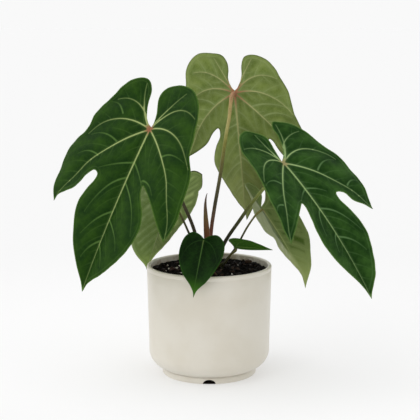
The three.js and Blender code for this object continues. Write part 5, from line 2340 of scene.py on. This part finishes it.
@dataclass
class Studio:
    """A light tent: a pale lit table, white walls, a darker roof and a large soft light at the left."""

    axis: PotAxis
    eye: Point3 = (0.83, -1285.6, 391.0)
    pitch: float = 9.1
    lens: float = 100.0
    sensor: float = 36.0
    view_end: float = 300.0  # metres
    wall: str = "f9f9f9"
    roof_strength: float = 0.45
    roof_edge: Span = (0.16, 0.45)  # sines of the heights where the wall ends and the roof begins
    lobe_edge: Span = (0.16, 0.32)
    table_colour: str = "c4c4c4"
    under_pot: str = "2e2620"  # the table seen through the notch, where no light reaches it
    table_glow: float = 0.37
    far_glow: float = 0.315
    pot_edge: Span = (0.0512, 0.0526)  # metres from the axis where the glow begins and is full
    glow_wanes: Span = (0.12, 0.8)
    table_half: float = 80.0
    lobes: tuple[SoftLobe, ...] = (
        SoftLobe((-0.78, -0.38, 0.5), 1.45, (0.45, 0.95)),
        SoftLobe((0.85, -0.2, 0.5), 0.55, (0.4, 0.95)),
        SoftLobe((0.0, 0.5, 0.86), 0.5, (0.5, 0.95)),
    )

    def build(self) -> None:
        """Sets up the camera, the table and the light."""
        self._camera()
        self._table()
        self._tent()
        bpy.context.scene.view_settings.view_transform = "Standard"
        LOG.info("studio: camera, table and light tent")

    def _camera(self) -> None:
        """Puts the camera where the photograph was taken from."""
        data = bpy.data.cameras.new("camera")
        data.lens = self.lens
        data.sensor_width = self.sensor
        data.sensor_fit = "HORIZONTAL"
        data.clip_end = self.view_end
        camera = bpy.data.objects.new("camera", data)
        camera.location = Vector(self.axis.place(np.array([self.eye]))[0])
        camera.rotation_euler = Euler((math.radians(90 - self.pitch), 0, 0))
        bpy.context.scene.collection.objects.link(camera)
        bpy.context.scene.camera = camera

    def _table(self) -> None:
        """A wide pale table, lit a little from within so that shadows on it stay faint."""
        material = new_material("pale_light_table")
        tree = material.node_tree
        place = add_node(tree, "ShaderNodeTexCoord").outputs["Object"]
        from_axis = {0: place, 1: (self.axis.x, self.axis.y, 0.0)}
        away = add_node(tree, "ShaderNodeVectorMath", from_axis, operation="DISTANCE").outputs["Value"]
        under = hex_to_linear(self.under_pot)
        near, wane = (
            add_node(tree, "ShaderNodeMapRange", dict(enumerate(ends)), interpolation_type="SMOOTHSTEP")
            for ends in (
                (away, *self.pot_edge, 0.0, self.table_glow),
                (away, *self.glow_wanes, 0.0, self.table_glow - self.far_glow),
            )
        )
        sockets = {
            "Base Color": Coat(self.table_colour, away, self.pot_edge, (0.0, 1.0)).lay(tree, under),
            "Roughness": 1.0,
            "Specular IOR Level": 0.0,
            "Emission Color": (1.0, 1.0, 1.0, 1.0),
            "Emission Strength": add_node(tree, "ShaderNodeMath", {0: near, 1: wane}, operation="SUBTRACT"),
        }
        feed(tree, tree.nodes["Principled BSDF"], sockets)
        half = self.table_half
        corners = np.array([(-half, -half, 0), (half, -half, 0), (half, half, 0), (-half, half, 0)])
        mesh_object("light_table", corners, [(0, 1, 2, 3)], [material])

    def _tent(self) -> None:
        """The walls and roof of the tent, as a surround without a distance."""
        world = bpy.data.worlds.new("light_tent")
        world.use_nodes = True
        tree = world.node_tree
        direction = add_node(tree, "ShaderNodeTexCoord").outputs["Generated"]
        height = add_node(tree, "ShaderNodeSeparateXYZ", {0: direction}).outputs[2]
        total, above_wall = (
            add_node(tree, "ShaderNodeMapRange", dict(enumerate(ends)), interpolation_type="SMOOTHSTEP")
            for ends in (
                (height, *self.roof_edge, 1.0, self.roof_strength), (height, *self.lobe_edge, 0.0, 1.0)
            )
        )
        for lobe in self.lobes:
            middle = {0: direction, 1: tuple(Vector(lobe.towards).normalized())}
            facing = add_node(tree, "ShaderNodeVectorMath", middle, operation="DOT_PRODUCT").outputs["Value"]
            ends = dict(enumerate((facing, *lobe.edge, 0.0, lobe.strength)))
            patch = add_node(tree, "ShaderNodeMapRange", ends, interpolation_type="SMOOTHSTEP")
            added = {0: patch, 1: above_wall, 2: total}
            total = add_node(tree, "ShaderNodeMath", added, operation="MULTIPLY_ADD")
        feed(tree, tree.nodes["Background"], {"Color": hex_to_linear(self.wall), "Strength": total})
        bpy.context.scene.world = world


def main() -> None:
    """Builds the plant and its studio, and writes how large the result is."""
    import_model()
    axis = PotAxis.from_frame()
    Studio(axis).build()
    finish_piece(StonewarePot(axis).build(), "glaze", "pot")
    for number, piece in enumerate(BarkMix(axis).build()):
        finish_piece(piece, "bark_mix", *(["soil"] if number == 0 else []))
    finish_piece(ShortStem(axis).build(), "stem", "stem")
    round_along_path = stalk_tree()
    finish_piece(NewLeafSpike(axis, round_along_path).build(), "sheath", "new_leaf_spike")
    for shape in LEAVES:
        finish_piece(LeafStalk(shape, axis, round_along_path).build(), "stalk", f"stalk_{shape.name}")
        finish_piece(LeafBlade(shape, axis).build(), "leaf", f"blade_{shape.name}")
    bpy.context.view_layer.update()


if __name__ == "__main__":
    logging.basicConfig(level=logging.INFO, format="%(name)s: %(message)s")
    main()
